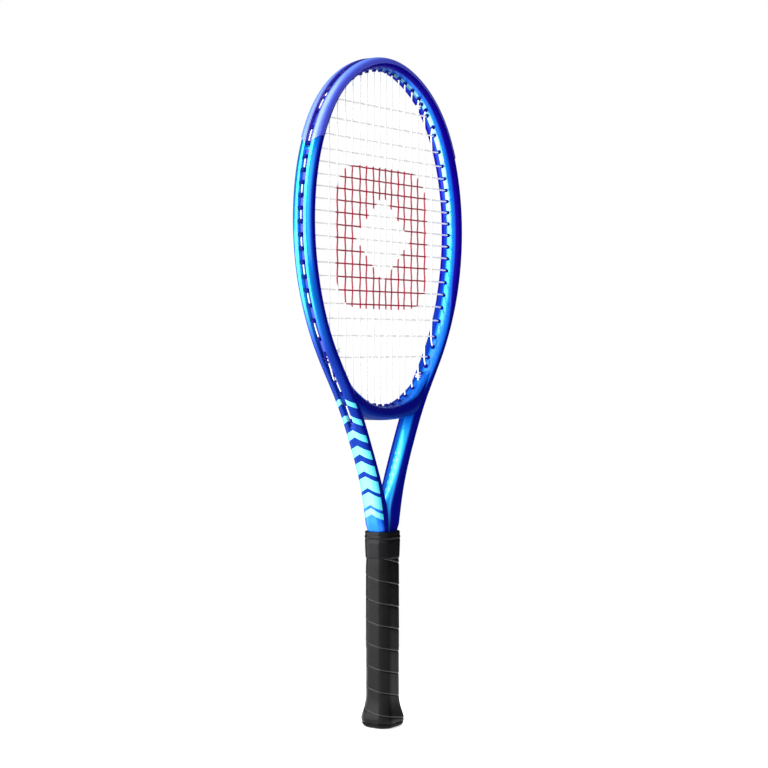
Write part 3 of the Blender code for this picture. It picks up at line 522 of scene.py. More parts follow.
class Graph(Tree):
    """The node tree of a new material."""

    def __init__(self, name, **constants):
        self.material = bpy.data.materials.new(name)
        self.material.use_nodes = True
        super().__init__(self.material.node_tree)
        self.shader = self.tree.nodes["Principled BSDF"]
        for key, value in constants.items():
            self.to(key.replace("_", " "), value)

    def to(self, name, value):
        self.put(value, self.shader.inputs[name])

    def math(self, operation, a, b=0.0):
        return self.node("Math", (a, b), operation=operation).outputs[0]

    def plus(self, a, b):
        return self.math("ADD", a, b)

    def times(self, first, *others):
        for other in others:
            first = self.math("MULTIPLY", first, other)
        return first

    def most(self, first, *others):
        for other in others:
            first = self.math("MAXIMUM", first, other)
        return first

    def size(self, value):
        return self.math("ABSOLUTE", value)

    def cycle(self, value, pitch):
        """Share of the way through the cell of the given pitch."""
        return self.math("FRACT", self.math("DIVIDE", value, pitch))

    def object_coordinates(self):
        return self.node("TexCoord").outputs["Object"]

    def parts(self, vector):
        return self.node("SeparateXYZ", (vector,)).outputs

    def position(self):
        """Object coordinates, which are the row frame's own, in metres: (x, y, z) sockets."""
        return self.parts(self.object_coordinates())

    def section(self):
        """The distance along a piece and the share round its section."""
        return self.parts(self.node("UVMap", uv_map="section").outputs[0])[:2]

    def noise(self, scale, detail=2.0):
        inputs = {"Scale": scale, "Detail": detail, "Vector": self.object_coordinates()}
        return self.node("TexNoise", inputs).outputs[0]

    def grain(self, scale):
        """Distance from the edges of irregular cells."""
        inputs = {"Scale": scale, "Vector": self.object_coordinates()}
        return self.node("TexVoronoi", inputs, feature="DISTANCE_TO_EDGE").outputs["Distance"]

    def step(self, value, low, high, out_low=0.0, out_high=1.0):
        """Smooth step of value from low to high."""
        inputs = (value, low, high, out_low, out_high)
        return self.node("MapRange", inputs, interpolation_type="SMOOTHSTEP").outputs[0]

    def band(self, value, low, high, soft):
        """1 between low and high, with soft edges."""
        rise = self.step(value, low - soft, low + soft)
        return self.times(rise, self.step(value, high - soft, high + soft, 1.0, 0.0))

    def mix(self, share, a, b):
        return self.node("Mix", {0: share, 6: a, 7: b}, data_type="RGBA").outputs[2]

    def rough(self, base, value, amount):
        self.to("Roughness", self.plus(base, self.times(value, amount)))

    def bump(self, height, distance, strength):
        inputs = {"Strength": strength, "Distance": distance, "Height": height}
        self.to("Normal", self.node("Bump", inputs).outputs[0])


def lacquer():
    """Candy lacquer: deep violet blue on the faces, electric blue on the rounded sides, with
    painted reflections, highlights and shade placed by height and side.
    """
    g = Graph("racket_lacquer", IOR=1.5, Coat_Roughness=0.05)
    s, t = g.section()  # t runs from 0 on the outer side to 1 on the inner side
    x, y, z = g.position()
    # Painted reflection: the outer sides are electric blue high on the head and low near the
    # collar, and dark between.
    head = g.step(z, 0.365, 0.45, 0.10, 1.0)
    foot = g.step(z, 0.205, 0.24, 0.7, 0.0)
    outer = g.times(g.step(t, 0.32, 0.47, 1.0, 0.0), g.most(head, foot))
    # Painted shade: the back half of the inner side keeps only a little of the painted reflection
    # and highlight.
    front = g.step(y, 0.001, 0.003, 1.0, 0.12)
    throat = g.step(z, 0.29, 0.31, 1.0, 0.0)
    # Painted reflection on the inner sides: wider low in the head, weak over the middle of the bow.
    bow = g.most(g.step(z, 0.34, 0.37), g.step(g.size(x), 0.012, 0.05, 0.2, 1.0), throat)
    wider = g.plus(t, g.times(g.band(z, 0.33, 0.42, 0.03), 0.12))
    inner = g.times(g.step(wider, 0.72, 0.84), front, bow)
    strength = g.most(outer, inner)
    # Painted reflection: cyan on the outer sides of the head, electric blue elsewhere.
    lit = g.mix(g.times(g.step(t, 0.17, 0.36, 0.8, 0.0), head), ELECTRIC, CYAN_REFLECTION)
    dark = g.mix(g.step(z, 0.36, 0.46), SHAFT_DEEP, DEEP)
    colour = g.mix(strength, dark, lit)
    # Painted cyan reflection on the inner sides of the shafts.
    colour = g.mix(g.times(inner, throat, 0.5), colour, CYAN_REFLECTION)
    # Painted highlight: mint to pale along the innermost side of the head.
    painted_highlight = g.times(g.step(t, 0.88, 0.95), g.step(z, 0.40, 0.56), g.times(front, 0.85))
    colour = g.mix(painted_highlight, colour, g.mix(g.step(z, 0.46, 0.57), MINT_HIGHLIGHT, PALE_HIGHLIGHT))
    satin = g.times(inner, g.step(z, 0.37, 0.46, 0.5, 0.0))
    metal = g.math("SUBTRACT", strength, satin)
    g.to("Metallic", g.plus(0.1, g.times(metal, 0.75)))
    g.to("Coat Weight", g.times(strength, 0.3))
    g.to("Specular IOR Level", g.plus(0.02, g.times(strength, 0.3)))

    slanted = g.plus(z, g.times(g.size(y), BAR_SLANT))
    cell = g.cycle(slanted, BAR_PITCH)
    filled = g.plus(g.step(z, *BARS, *BAR_SHARE), BAR_START)
    bar = g.step(cell, BAR_START - 0.02, BAR_START + 0.02)
    bar = g.times(bar, g.math("LESS_THAN", cell, filled))
    outside = g.times(g.band(slanted, *BARS, 0.0004), g.step(t, 0.44, 0.45, 1.0, 0.0))
    bar = g.times(bar, g.times(outside, g.step(g.size(s), *SHAFTS)))
    colour = g.mix(bar, colour, g.mix(g.step(t, 0.10, 0.50), BAR_EDGE, BAR_FACE))

    rows = g.times(g.band(g.size(y), *MARK_ROWS), g.step(t, 0.8, 0.82))
    dash = g.band(g.cycle(g.size(s), MARK_PITCH), *MARK_DASH)
    marks = g.times(rows, dash, g.band(z, *MARKS))
    colour = g.mix(g.times(marks, 0.35), colour, MARK)
    g.to("Base Color", colour)
    g.rough(0.26, g.noise(2600, 1.0), 0.06)
    g.bump(g.noise(140, 3.0), 0.00004, 0.2)
    return g.material


def bumper_nylon():
    """Satin periwinkle nylon with faint scuffs, and painted shade: darker towards its inner edges
    and in the groove.
    """
    g = Graph("racket_bumper", IOR=1.6, Coat_Weight=0.8, Coat_Roughness=0.26)
    t = g.section()[1]
    scuff = g.step(g.noise(420, 4.0), 0.62, 0.75)
    # Painted shade: the part of the bumper down in the groove is dark navy.
    groove = g.step(t, 0.16, 0.22, 1.0, 0.0)
    # Painted shade: darker further round the section, towards its inner edges.
    colour = g.mix(g.step(t, 0.24, 0.46), (0.10, 0.22, 0.86), (0.03, 0.045, 0.50))
    colour = g.mix(g.times(scuff, 0.25), colour, (0.26, 0.34, 0.92))
    g.to("Base Color", g.mix(groove, colour, (0.012, 0.010, 0.30)))
    g.rough(0.34, g.noise(900), 0.12)
    g.bump(g.noise(1500), 0.00008, 0.5)
    return g.material


def grommet_nylon():
    """Satin nylon: blue on the strips, navy on the barrels, whose hooded outer ends stand in for
    shade.
    """
    g = Graph("racket_grommets", IOR=1.5)
    tone = g.noise(300, 3.0)
    strip = g.mix(tone, (0.035, 0.05, 0.44), (0.06, 0.08, 0.58))
    navy = g.mix(tone, (0.003, 0.002, 0.12), (0.005, 0.004, 0.20))
    is_barrel = g.node("Attribute", attribute_name="inward").outputs["Fac"]
    g.to("Base Color", g.mix(is_barrel, strip, navy))
    g.to("Specular IOR Level", g.step(is_barrel, 0.0, 1.0, 0.2, 0.06))
    g.rough(0.32, tone, 0.15)
    g.bump(g.noise(1800), 0.00006, 0.4)
    return g.material


def string_material():
    """White synthetic gut with a stencilled panel in crimson ink, open in the middle."""
    g = Graph("racket_string", IOR=1.5, Coat_Roughness=0.2)
    x, _, z = g.position()
    across = g.size(g.math("DIVIDE", x, STENCIL_HALF[0]))
    up = g.size(g.math("DIVIDE", g.math("SUBTRACT", z, STENCIL_Z), STENCIL_HALF[1]))
    powers = [g.math("POWER", value, STENCIL_CORNER) for value in (across, up)]
    panel = g.step(g.plus(*powers), 0.95, 1.05, 1.0, 0.0)
    ink = g.times(panel, g.step(g.plus(across, up), *STENCIL_OPENING))
    patchy = g.step(g.noise(900), 0.25, 0.55, 0.86, 1.0)
    fibre = g.noise(2600)
    white = g.mix(fibre, (0.72, 0.72, 0.71), (0.81, 0.81, 0.80))
    g.to("Base Color", g.mix(g.times(ink, patchy), white, INK))
    g.to("Coat Weight", g.step(ink, 0.0, 1.0, 0.3, 0.0))
    g.to("Specular IOR Level", g.step(ink, 0.0, 1.0, 0.5, 0.06))
    g.rough(0.3, fibre, 0.15)
    g.bump(fibre, 0.00005, 0.4)
    return g.material


def grip_leather():
    """Black synthetic leather with a fine grain, and a painted highlight: paler along the edge of
    each turn.
    """
    g = Graph("racket_grip", IOR=1.45)
    broad = g.noise(70, 4.0)
    seam_highlight = g.step(g.section()[0], 0.0, 0.035, 1.0, 0.0)
    colour = g.mix(broad, (0.002, 0.002, 0.002), (0.005, 0.005, 0.005))
    # Painted highlight along the raised edge of each turn.
    g.to("Base Color", g.mix(g.times(seam_highlight, 0.14), colour, (0.07, 0.07, 0.075)))
    g.to("Specular IOR Level", g.plus(0.12, g.times(seam_highlight, 0.9)))
    g.rough(0.22, broad, 0.16)
    cells = g.step(g.grain(1500), 0.0, 0.1)
    g.bump(g.plus(g.times(cells, 0.4), g.noise(500, 3.0)), 0.00012, 0.5)
    return g.material


def plain(name, colour, roughness, grain, depth=0.00006, **constants):
    """A moulded or formed material with a little variation in tone, gloss and surface."""
    g = Graph(name, **constants)
    tone = g.noise(grain, 3.0)
    dark, light = (tuple(c * share for c in colour) for share in (0.75, 1.25))
    g.to("Base Color", g.mix(tone, dark, light))
    g.rough(roughness - 0.06, tone, 0.12)
    g.bump(g.noise(grain * 2.2), depth, 0.5)
    return g.material


# ---- meshes


def link(name, data):
    made = bpy.data.objects.new(name, data)
    bpy.context.scene.collection.objects.link(made)
    return made


def finished(name, mesh, finish, sharp=None):
    """The mesh as a smooth object, sharp beyond the given angle in degrees."""
    mesh.materials.append(finish)
    mesh.shade_smooth()
    if sharp:
        mesh.set_sharp_from_angle(angle=math.radians(sharp))
    return link(name, mesh)


def section_object(name, verts, faces, loops, finish, sharp=None, weld=0.0):
    """An object whose materials can read, from loops, where each corner lies on its section."""
    mesh = bpy.data.meshes.new(name)
    mesh.from_pydata(verts, [], faces)
    layer = mesh.uv_layers.new(name="section")
    layer.data.foreach_set("uv", np.array(loops, np.float32).ravel())
    mesh.update()
    bm = bmesh.new()
    bm.from_mesh(mesh)
    if weld:
        bmesh.ops.remove_doubles(bm, verts=bm.verts, dist=weld)
        loose = [v for v in bm.verts if not v.link_faces]
        bmesh.ops.delete(bm, geom=loose, context="VERTS")
    bmesh.ops.recalc_face_normals(bm, faces=bm.faces)
    bm.to_mesh(mesh)
    bm.free()
    return finished(name, mesh, finish, sharp)


def grid_object(name, rings, uv, finish, wrap_rows=False):
    """A tube of rings: rings is (rings, around, 3), uv is (rings, around + 1, 2)."""
    points = np.array(rings)
    count, around = points.shape[:2]
    faces = []
    loops = []
    for i in range(count if wrap_rows else count - 1):
        for j in range(around):
            k, n = (i + 1) % count, (j + 1) % around
            faces.append((i * around + j, i * around + n, k * around + n, k * around + j))
            loops += [uv[i][j], uv[i][j + 1], uv[i + 1][j + 1], uv[i + 1][j]]
    if not wrap_rows:
        faces.append(tuple(range(around)))
        faces.append(tuple(reversed(range((count - 1) * around, count * around))))
        loops += [uv[0][j] for j in range(around)] + [uv[-1][j] for j in reversed(range(around))]
    verts = [tuple(p) for p in points.reshape(-1, 3)]
    return section_object(name, verts, faces, loops, finish, sharp=50)


def curve(start, corner, end, u):
    """The point at share u of the curve that rounds off a corner."""
    return (1 - u) ** 2 * start + 2 * u * (1 - u) * corner + u * u * end


def rounded(profile, steps=4):
    """A closed polygon, given as (depth, width, corner size), with its corners rounded."""
    out = []
    count = len(profile)
    for i in range(count):
        here = np.array(profile[i][:2])
        size = profile[i][2]
        for_before = np.array(profile[i - 1][:2]) - here
        for_after = np.array(profile[(i + 1) % count][:2]) - here
        a = here + for_before * min(0.48, size / norm(for_before))
        b = here + for_after * min(0.48, size / norm(for_after))
        out += [curve(a, here, b, k / steps) for k in range(steps + 1)]
    return np.array(out)


def mirrored_section(half):
    """The closed section, in metres, whose back half is given in mm."""
    whole = [(d, -v, r) for d, v, r in half] + [(d, v, r) for d, v, r in reversed(half)]
    return rounded(whole) * MM


def around_share(section):
    """Share of the way from the outer centre line (0) to the inner one (1), for each point."""
    half = len(section) // 2
    steps = norm(np.diff(section[:half], axis=0), axis=1)
    run = np.concatenate([[0.0], np.cumsum(steps)])
    one = run / run[-1]
    return np.concatenate([one, one[::-1]])


def ring_uv(run, shares):
    """Where a ring lies: its distance along the piece, and the share round it of each point."""
    return np.stack([np.full(len(shares) + 1, run), np.append(shares, shares[0])], axis=1)


def smooth_line(values, spread):
    """Gaussian smoothing along a line of values, with its ends held."""
    reach = int(3 * spread)
    kernel = np.exp(-0.5 * (np.arange(-reach, reach + 1) / spread) ** 2)
    kernel /= kernel.sum()
    padded = np.pad(values, reach, mode="edge")
    return np.convolve(padded, kernel, mode="valid")


# Sections in mm: (depth, half width, corner size), from the middle of the outer side inwards
FRAME_SECTION = [(0.0, 3.3, 0.7), (0.0, 6.2, 1.4), (1.4, 9.4, 1.6), (4.0, 11.5, 1.5)]
FRAME_SECTION += [(7.2, 12.0, 2.0), (9.6, 10.2, 2.2), (11.3, 6.2, 2.4), (12.1, 1.2, 2.2)]
BUMPER_SECTION = [(3.4, 1.8, 0.4), (-0.5, 2.5, 0.8), (-0.5, 6.2, 1.6), (0.5, 9.5, 1.5)]
BUMPER_SECTION += [(2.6, 11.8, 1.3), (5.6, 12.45, 0.3), (5.9, 12.1, 0.15), (3.7, 11.75, 0.5)]
BUMPER_SECTION += [(2.2, 8.8, 0.8), (1.2, 6.0, 0.8), (1.6, 3.6, 0.8), (4.0, 2.9, 0.4)]
# The same for the bow, but with shares of its half thickness for depths, from the top down
BOW_SECTION = [(1.0, 4.6, 2.2), (0.80, 9.4, 2.2), (0.1, 12.0, 2.2)]
BOW_SECTION += [(-0.45, 11.7, 1.6), (-0.85, 9.6, 1.6), (-1.0, 6.0, 1.6)]
BOW_LEAST = 6 * MM  # least thickness of the bow
GROOVE_RUNOUT = 5 * MM  # the groove fades over this length


def frame_section(groove):
    """The frame's closed section, with this share of the groove's depth in its outer side."""
    floor = max(groove * GROOVE_DEPTH / MM, 0.03)
    return mirrored_section([(floor, 2.9, 0.5)] + FRAME_SECTION)


def hoop_frames(places):
    points, normals = zip(*(HOOP.at(s) for s in places))
    return np.array(points), np.array(normals)


def make_frame(finish):
    places = np.linspace(-HOOP.end, HOOP.end, 341)
    shares = around_share(frame_section(1.0))
    points, normals = hoop_frames(places)
    walls = np.array([wall_at(p, n) for p, n in zip(points, normals)])
    walls = smooth_line(walls, 5 * MM / (places[1] - places[0]))
    groove_end = HOOP.s_at_height(GROOVE_END_Z)
    rings, uvs = [], []
    for s, p, n, wall in zip(places, points, normals, walls):
        groove = float(np.clip((groove_end - abs(s)) / GROOVE_RUNOUT, 0.0, 1.0))
        depth, width = frame_section(groove).T
        share = (wall - GROOVE_DEPTH) / (WALL - GROOVE_DEPTH)
        depth = np.minimum(depth, GROOVE_DEPTH) + np.maximum(0.0, depth - GROOVE_DEPTH) * share
        rings.append(np.stack(under(p, n, depth, width), axis=1))
        uvs.append(ring_uv(s, shares))
    depth, width = frame_section(0.0).T
    for sign in (-1, 1):
        ends = []
        for z, half, depth_share in TANG:
            across = sign * (half * MM - depth * ((half * MM - GAP) / WALL))
            height = np.full(len(depth), z * MM)
            ends.append(np.stack([across, width * depth_share, height], axis=1))
        flat = [ring_uv(sign * HOOP.end, shares)] * len(ends)
        rings = rings + ends if sign > 0 else ends[::-1] + rings
        uvs = uvs + flat if sign > 0 else flat + uvs
    made = grid_object("frame_shell", rings, uvs, finish)
    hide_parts("frame_hairpin")
    return made


def share_beyond(x, start, length):
    """How far x has gone past start, as a share of length."""
    return float(np.clip((abs(x) - start) / length, 0.0, 1.0))


def make_bridge(finish):
    """The bow, whose top runs on into the inner walls of the hoop."""
    sink_start, sink_length, sink = BRIDGE_SINKS
    narrow_start, narrow_length, narrowing = BRIDGE_NARROWS
    rings, uvs = [], []
    for x in np.linspace(-BRIDGE_REACH, BRIDGE_REACH, 101):
        sunk = share_beyond(x, sink_start, sink_length)
        top = bow_height(x) - sink * sunk**2 * (3 - 2 * sunk)
        foot = min(bridge_foot(x), top - BOW_LEAST)
        middle, half = (top + foot) / 2, (top - foot) / 2
        section = mirrored_section([(share * half / MM, v, r) for share, v, r in BOW_SECTION])
        width = section[:, 1] * (1 - narrowing * share_beyond(x, narrow_start, narrow_length))
        rings.append(np.stack([np.full(len(section), x), width, middle + section[:, 0]], axis=1))
        uvs.append(ring_uv(x, 1 - around_share(section)))
    made = grid_object("throat_bow", rings, uvs, finish)
    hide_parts("throat_bridge")
    return made


def make_bumper(finish):
    section = mirrored_section(BUMPER_SECTION)
    shares = around_share(section)
    end = HOOP.s_at_height(BUMPER_END_Z)
    rings, uvs = [], []
    for share in np.linspace(-1, 1, 161):
        rings.append([under(*HOOP.at(share * (end - abs(v))), depth, v) for depth, v in section])
        uvs.append(ring_uv(share * end, shares))
    made = grid_object("bumper_shell", rings, uvs, finish)
    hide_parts("bumper_guard")
    return made


def lace(bm, lower, upper):
    """Faces between two rings of vertices."""
    for i in range(len(lower)):
        j = (i + 1) % len(lower)
        bm.faces.new((lower[i], lower[j], upper[j], upper[i]))


def tube(bm, start, end, profile, sides=14):
    """A hollow turned barrel: profile is a closed loop of (share along, radius in mm)."""
    axis = (end - start).normalized()
    across = Vector((0.0, 1.0, 0.0))
    other = axis.cross(across)
    length = (end - start).length
    angles = [2 * math.pi * k / sides for k in range(sides)]
    loops = []
    for along, size in profile:
        centre = start + axis * (along * length)
        radius = size * MM
        ring = []
        for angle in angles:
            spot = centre + across * (radius * math.cos(angle))
            ring.append(bm.verts.new(spot + other * (radius * math.sin(angle))))
        loops.append(ring)
    for lower, upper in zip(loops, loops[1:] + loops[:1]):
        lace(bm, lower, upper)


def barrel_profile(length):
    """A hooded outer end, a navy dome standing in for the shade round the string's turn, and a
    flange, a narrower neck, and a nub at the inner end.
    """
    lip = BARREL_LIP / length
    shade_hood = SHADE_HOOD / length
    shade_hooded = [(0.0, 0.3), (0.0, 1.0), (0.7 * lip, 1.6), (0.5 * shade_hood, 2.05)]
    flange = [(shade_hood + lip, 2.5), (shade_hood + 2 * lip, 2.3), (shade_hood + 3 * lip, 1.8)]
    nub = [(1 - 6 * lip, 2.1), (1 - 2.4 * lip, 2.2), (1 - 1.2 * lip, 2.05), (1 - 0.4 * lip, 1.65)]
    return shade_hooded + flange + nub + [(1.0, 1.1), (1.0, 0.9), (0.5, 0.8)]


def make_grommets(name, cad_node, eyelets, band, finish):
    """A strip in the groove with a barrel to each string."""
    bm = bmesh.new()
    layer = bm.verts.layers.float.new("inward")
    width, bevel = STRIP_HALF_WIDTH, STRIP_TOP + STRIP_BEVEL
    flat = width * STRIP_FLAT_SHARE
    corners = [(bevel, -width), (STRIP_TOP, -flat), (STRIP_TOP, flat), (bevel, width)]
    corners += [(STRIP_FOOT, width), (STRIP_FOOT, -width)]
    loops = []
    for p, n in band:
        loops.append([bm.verts.new(under(p, n, d, v)) for d, v in corners])
    for lower, upper in zip(loops, loops[1:]):
        lace(bm, lower, upper)
    bm.faces.new(loops[0])
    bm.faces.new(loops[-1])
    strip_count = len(bm.verts)
    for eyelet in eyelets:
        outside = eyelet.at_depth(STRIP_TOP - FLANGE_RISE - SHADE_HOOD)
        inside = eyelet.inner - eyelet.axis * (BEND_OUT - NUB_EXTRA)
        tube(bm, outside, inside, barrel_profile((inside - outside).length))
    bm.verts.ensure_lookup_table()
    for vert in bm.verts[strip_count:]:
        vert[layer] = 1.0
    bmesh.ops.recalc_face_normals(bm, faces=bm.faces)
    mesh = bpy.data.meshes.new(name)
    bm.to_mesh(mesh)
    bm.free()
    made = finished(name, mesh, finish, sharp=40)
    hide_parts(cad_node)
    return made


def rounded_path(points, reach):
    """The path with every corner turned into a short curve."""
    path = [np.array(p, float) for p in points]
    out = [path[0]]
    for before, here, after in zip(path, path[1:], path[2:]):
        a, b = before - here, after - here
        la, lb = norm(a), norm(b)
        turn = math.acos(float(np.clip(-(a @ b) / (la * lb), -1, 1)))
        if turn < math.radians(1.5):
            out.append(here)
            continue
        start, end = here + a * min(0.42, reach / la), here + b * min(0.42, reach / lb)
        out += [curve(start, here, end, u) for u in (0.0, 0.25, 0.5, 0.75, 1.0)]
    out.append(path[-1])
    return np.array(out)


def make_string(name, cad_node, points, finish, sides=8):
    path = rounded_path(points, BEND_LENGTH)
    gaps = norm(np.diff(path, axis=0), axis=1)
    path = path[np.append(True, gaps > 0.05 * MM)]
    ways = np.diff(path, axis=0)
    lengths = norm(ways, axis=1)
    ways /= lengths[:, None]
    tangents = np.vstack([ways[:1], ways[:-1] + ways[1:], ways[-1:]])
    tangents /= norm(tangents, axis=1)[:, None]
    angles = (2 * np.pi * np.arange(sides) / sides)[:, None]
    side = np.array([0.0, 1.0, 0.0])
    rings, uvs = [], []
    for p, t, run in zip(path, tangents, np.append(0.0, np.cumsum(lengths))):
        side = side - t * (side @ t)
        side /= norm(side)
        rings.append(p + STRING_R * (np.cos(angles) * side + np.sin(angles) * np.cross(t, side)))
        uvs.append(np.stack([np.full(sides + 1, run), np.arange(sides + 1) / sides], axis=1))
    made = grid_object(name, rings, uvs, finish)
    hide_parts(cad_node)
    return made


def handle_point(angle, growth, z, power=22.0):
    """A point of the handle's rounded octagon: the norm of its eight support lines."""
    half_x, half_y = GRIP_X + growth, GRIP_Y + growth
    c, s = math.cos(angle), math.sin(angle)
    diagonal = half_x + half_y - (GRIP_CORNER + 0.3 * growth)
    lines = (abs(c) / half_x, abs(s) / half_y, (abs(c) + abs(s)) / diagonal)
    size = sum(line**power for line in lines) ** (-1 / power)
    return size * c, size * s, z


# One turn of the wrap, from its lower to its upper edge: (height, lift), in mm
GRIP_ROWS = [(0.0, -0.42), (0.35, -0.40), (0.7, 0.02), (1.1, 0.16), (1.8, 0.12), (4.0, 0.06)]
GRIP_ROWS += [(8.0, 0.02), (12.0, 0.0), (16.0, 0.0), (19.0, 0.0), (20.6, -0.02), (21.4, -0.10)]
GRIP_ROWS += [(21.8, -0.36)]


def make_grip(finish):
    """The wrap as one helical grid, with a step where each turn overlaps the last."""
    around, count = HANDLE_SIDES, len(GRIP_ROWS)
    low, high = BUTT_FLARE[0][0] * MM, GRIP_TOP_Z
    edge_height, edge_depth = GRIP_EDGE
    turns = range(-2, int((high - low) / GRIP_PITCH) + 2)
    verts, index = [], {}
    for turn in turns:
        for r, (w, lift) in enumerate(GRIP_ROWS):
            for j in range(around):
                z = low + (turn + j / around) * GRIP_PITCH + w * MM
                held = min(max(z, low), high)
                growth = GRIP_FULLNESS * by_height(BUTT_FLARE, held) + lift * MM + GRIP_SWELL
                growth -= by_height(GRIP_THINNING, held)
                growth -= edge_depth * (1 - min(1.0, (held - low) / edge_height)) ** 2
                index[turn, r, j] = len(verts)
                verts.append(handle_point(GRIP_TURN * 2 * math.pi * j / around, growth, held))

    def corner(turn, r, j):
        """The vertex there, counting on from row to row and from turn to turn."""
        for full in (r == count, j == around):
            turn += full
        return index.get((turn, r % count, j % around))

    widths = [w * MM / GRIP_PITCH for w, _ in GRIP_ROWS] + [1.0]
    faces, loops = [], []
    for turn in turns:
        for r in range(count):
            for j in range(around):
                ways = ((r, j), (r, j + 1), (r + 1, j + 1), (r + 1, j))
                quad = [corner(turn, *way) for way in ways]
                if None in quad:
                    continue
                heights = [verts[k][2] for k in quad]
                if max(heights) > low + 1e-6 and min(heights) < high - 1e-6:
                    faces.append(quad)
                    loops += [(widths[row], side / around) for row, side in ways]
    made = section_object("grip_wound", verts, faces, loops, finish, weld=0.004 * MM)
    skin = made.modifiers.new("skin", "SOLIDIFY")
    skin.thickness = STRIP_SKIN
    skin.offset = -1.0
    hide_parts("grip_wrap")
    return made


# Closed sections of the collar and the butt's rim: (height, growth beyond the grip), in mm
COLLAR_LEVELS = [(167.6, 0.45), (167.9, 0.70), (168.8, 0.85), (171, 0.95), (176, 1.15), (182, 1.30)]
COLLAR_LEVELS += [(185.4, 1.40), (185.8, 1.21), (186.5, 1.17), (187.2, 1.21), (187.6, 1.49)]
COLLAR_LEVELS += [(188.6, 1.61), (189.3, 1.57), (189.7, 1.30), (190.3, 1.15), (191.0, 1.19)]
COLLAR_LEVELS += [(193.2, 1.25), (193.9, 1.13), (194.2, 0.80), (194.3, -0.25), (194.2, -1.25)]
COLLAR_LEVELS += [(194.2, -1.8), (167.6, -1.8)]
RIM_LEVELS = [(0.0, -3.8), (0.0, -0.8), (0.2, 0.2), (0.7, 1.5), (1.5, 2.7), (2.5, 3.5)]
RIM_LEVELS += [(3.5, 3.95), (4.3, 4.1), (4.7, 4.0), (4.75, 2.4), (4.75, -4.4), (0.0, -4.4)]


def make_sleeve(name, levels, finish):
    """A ring round the handle."""
    around = HANDLE_SIDES
    angles = [2 * math.pi * j / around for j in range(around)]
    rings = [[handle_point(a, growth * MM, z * MM) for a in angles] for z, growth in levels]
    uvs = [[(j / around, z) for j in range(around + 1)] for z, _ in levels]
    return grid_object(name, rings, uvs + uvs[:1], finish, wrap_rows=True)


# ---- assembly


def place(piece, body="racket"):
    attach(piece, body)


def stretch(start, end):
    """The eyelets between two places along the hoop, and the outline's points and normals."""
    low, high = sorted((start, end))
    held = [e for e in EYELETS.values() if e.s is not None and low < e.s < high]
    return held, list(zip(*hoop_frames(stations(start, end, STRIP_STEP))))


def make_strips(finish):
    start = HOOP.s_at_height(BUMPER_END_Z) + 1.5 * MM
    end = HOOP.s_at_height(GROOVE_END_Z) - 1.0 * MM
    for sign, side in ((-1, "left"), (1, "right")):
        run = stretch(sign * start, sign * end)
        strip = make_grommets("grommets_" + side, "grommet_strip_" + side, *run, finish)
        place(strip)
    held = [EYELETS["main", sign, i, "foot"] for sign in (-1, 1) for i in range(3)]
    band = [((x, bridge_foot(x)), (0.0, -1.0)) for x in np.linspace(-33 * MM, 33 * MM, 23)]
    throat = make_grommets("grommets_throat", "throat_grommet_strip", held, band, finish)
    place(throat)


def make_bumper_barrels(finish):
    """The bumper guard's own strip and barrels, in the groove over the tip."""
    end = HOOP.s_at_height(BUMPER_END_Z) - 1.0 * MM
    made = make_grommets("bumper_grommets", "bumper_guard", *stretch(-end, end), finish)
    place(made)


lacquer_paint = lacquer()
place(make_frame(lacquer_paint))
place(make_bridge(lacquer_paint))
place(make_bumper(bumper_nylon()))
grommet_finish = grommet_nylon()
make_strips(grommet_finish)
make_bumper_barrels(grommet_finish)
gut = string_material()
place(make_string("mains", "main_string", main_path(), gut))
place(make_string("crosses", "cross_string", cross_path(), gut))
place(make_grip(grip_leather()))
rubber = plain("racket_rubber", (0.003, 0.003, 0.004), 0.36, 600, Specular_IOR_Level=0.12)
collar = make_sleeve("grip_collar_rubber", COLLAR_LEVELS, rubber)
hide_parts("grip_collar")
place(collar)
butt = plain("racket_butt", (0.004, 0.004, 0.004), 0.45, 500, Specular_IOR_Level=0.05)
place(make_sleeve("butt_rim", RIM_LEVELS, butt))
foam = plain("racket_foam", (0.75, 0.68, 0.45), 0.85, 700, 0.0002)
steel = plain("racket_staples", (0.6, 0.6, 0.62), 0.3, 2000, Metallic=1.0)
vinyl = plain("racket_tape", (0.012, 0.012, 0.013), 0.3, 500)
staples = ["butt_staple_front_left", "butt_staple_front_right", "butt_staple_back_left"]
CAD_FINISHES = [
    (butt, ["butt_cap", "butt_cap_door"]),
    (foam, ["handle_pallet_front", "handle_pallet_back"]),
    (steel, staples + ["butt_staple_back_right", "grip_start_staple"]),
    (vinyl, ["finishing_tape"]),
]
for finish, nodes in CAD_FINISHES:
    for node in nodes:
        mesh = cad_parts[node].data
        mesh.materials.clear()
        mesh.materials.append(finish)


# ---- studio

CAMERA_TURN = math.radians(55.5)
CAMERA_DISTANCE = 1.720
CAMERA_HEIGHT = 0.3771
CAMERA_PITCH = math.radians(1.25)
CAMERA_YAW = math.radians(0.05)
CAMERA_LENS = 81.5
SENSOR = 36.0
WORLD_GLOSSY = 0.08  # what the lacquer mirrors between the softboxes
WORLD_DIFFUSE = 0.7
FLOOR_RADIUS = 0.45
FLOOR_GAP = 0.2 * MM  # below the butt's face
# Softboxes: name, distance to the right, towards the camera and up, size, power, height aimed at
SOFTBOXES = [
    ("key_left", (-1.45, 0.74, 0.95), (0.8, 1.9), 44.0, 0.40),
    ("front_fill", (-0.2, 2.2, 0.9), (2.0, 2.0), 32.0, 0.40),
    ("floor_bounce", (-0.85, 0.0, 0.01), (0.9, 1.2), 16.0, 0.6),
    ("top", (-0.6, 0.2, 1.9), (1.0, 1.0), 10.0, 0.40),
]


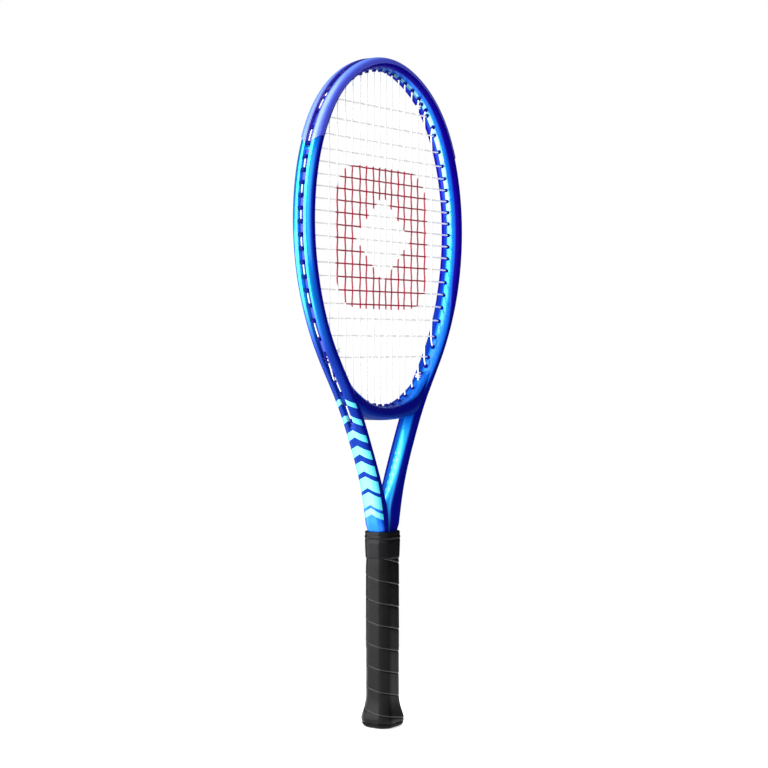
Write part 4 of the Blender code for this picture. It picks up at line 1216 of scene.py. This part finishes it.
def make_camera():
    data = bpy.data.cameras.new("camera")
    data.lens = CAMERA_LENS
    data.sensor_width = SENSOR
    camera = link("camera", data)
    s, c = math.sin(CAMERA_TURN), math.cos(CAMERA_TURN)
    camera.location = (-s * CAMERA_DISTANCE, -c * CAMERA_DISTANCE, CAMERA_HEIGHT)
    camera.rotation_euler = (math.pi / 2 - CAMERA_PITCH, 0.0, -CAMERA_TURN - CAMERA_YAW)
    bpy.context.scene.camera = camera


def make_softbox(name, place_of, size, power, aim_height):
    """An area light placed by the camera's own right and forward directions."""
    lateral, forward, height = place_of
    data = bpy.data.lights.new(name, "AREA")
    data.shape = "RECTANGLE"
    data.size, data.size_y = size
    data.energy = power
    light = link(name, data)
    s, c = math.sin(CAMERA_TURN), math.cos(CAMERA_TURN)
    right, towards = Vector((c, -s, 0.0)), Vector((-s, -c, 0.0))
    light.location = right * lateral + towards * forward + Vector((0.0, 0.0, height))
    aim = Vector((0.0, 0.0, aim_height)) - light.location
    light.rotation_euler = aim.to_track_quat("-Z", "Y").to_euler()


def make_world():
    """A white backdrop, dimmer as a light, and dimmest in reflections."""
    world = bpy.data.worlds.new("studio")
    bpy.context.scene.world = world
    world.use_nodes = True
    g = Tree(world.node_tree)
    background = g.tree.nodes["Background"]
    g.put((1.0, 1.0, 1.0), background.inputs["Color"])
    rays = g.node("LightPath").outputs
    level = WORLD_GLOSSY
    for ray, strength in (("Is Diffuse Ray", WORLD_DIFFUSE), ("Is Camera Ray", 1.0)):
        inputs = {"Factor": rays[ray], "A": level, "B": strength}
        level = g.node("Mix", inputs).outputs["Result"]
    g.put(level, background.inputs["Strength"])


def make_floor():
    bm = bmesh.new()
    bmesh.ops.create_circle(bm, cap_ends=True, segments=96, radius=FLOOR_RADIUS)
    mesh = bpy.data.meshes.new("floor")
    bm.to_mesh(mesh)
    bm.free()
    looks = {"Base_Color": (0.9, 0.9, 0.9), "Emission_Color": (1.0, 1.0, 1.0)}
    paper = Graph("floor_paper", Roughness=0.9, Emission_Strength=0.6, **looks)
    mesh.materials.append(paper.material)
    floor = link("floor", mesh)
    floor.location = (0.0, 0.0, -FLOOR_GAP)


make_camera()
make_world()
make_floor()
for box in SOFTBOXES:
    make_softbox(*box)
bpy.context.scene.view_settings.view_transform = "Standard"
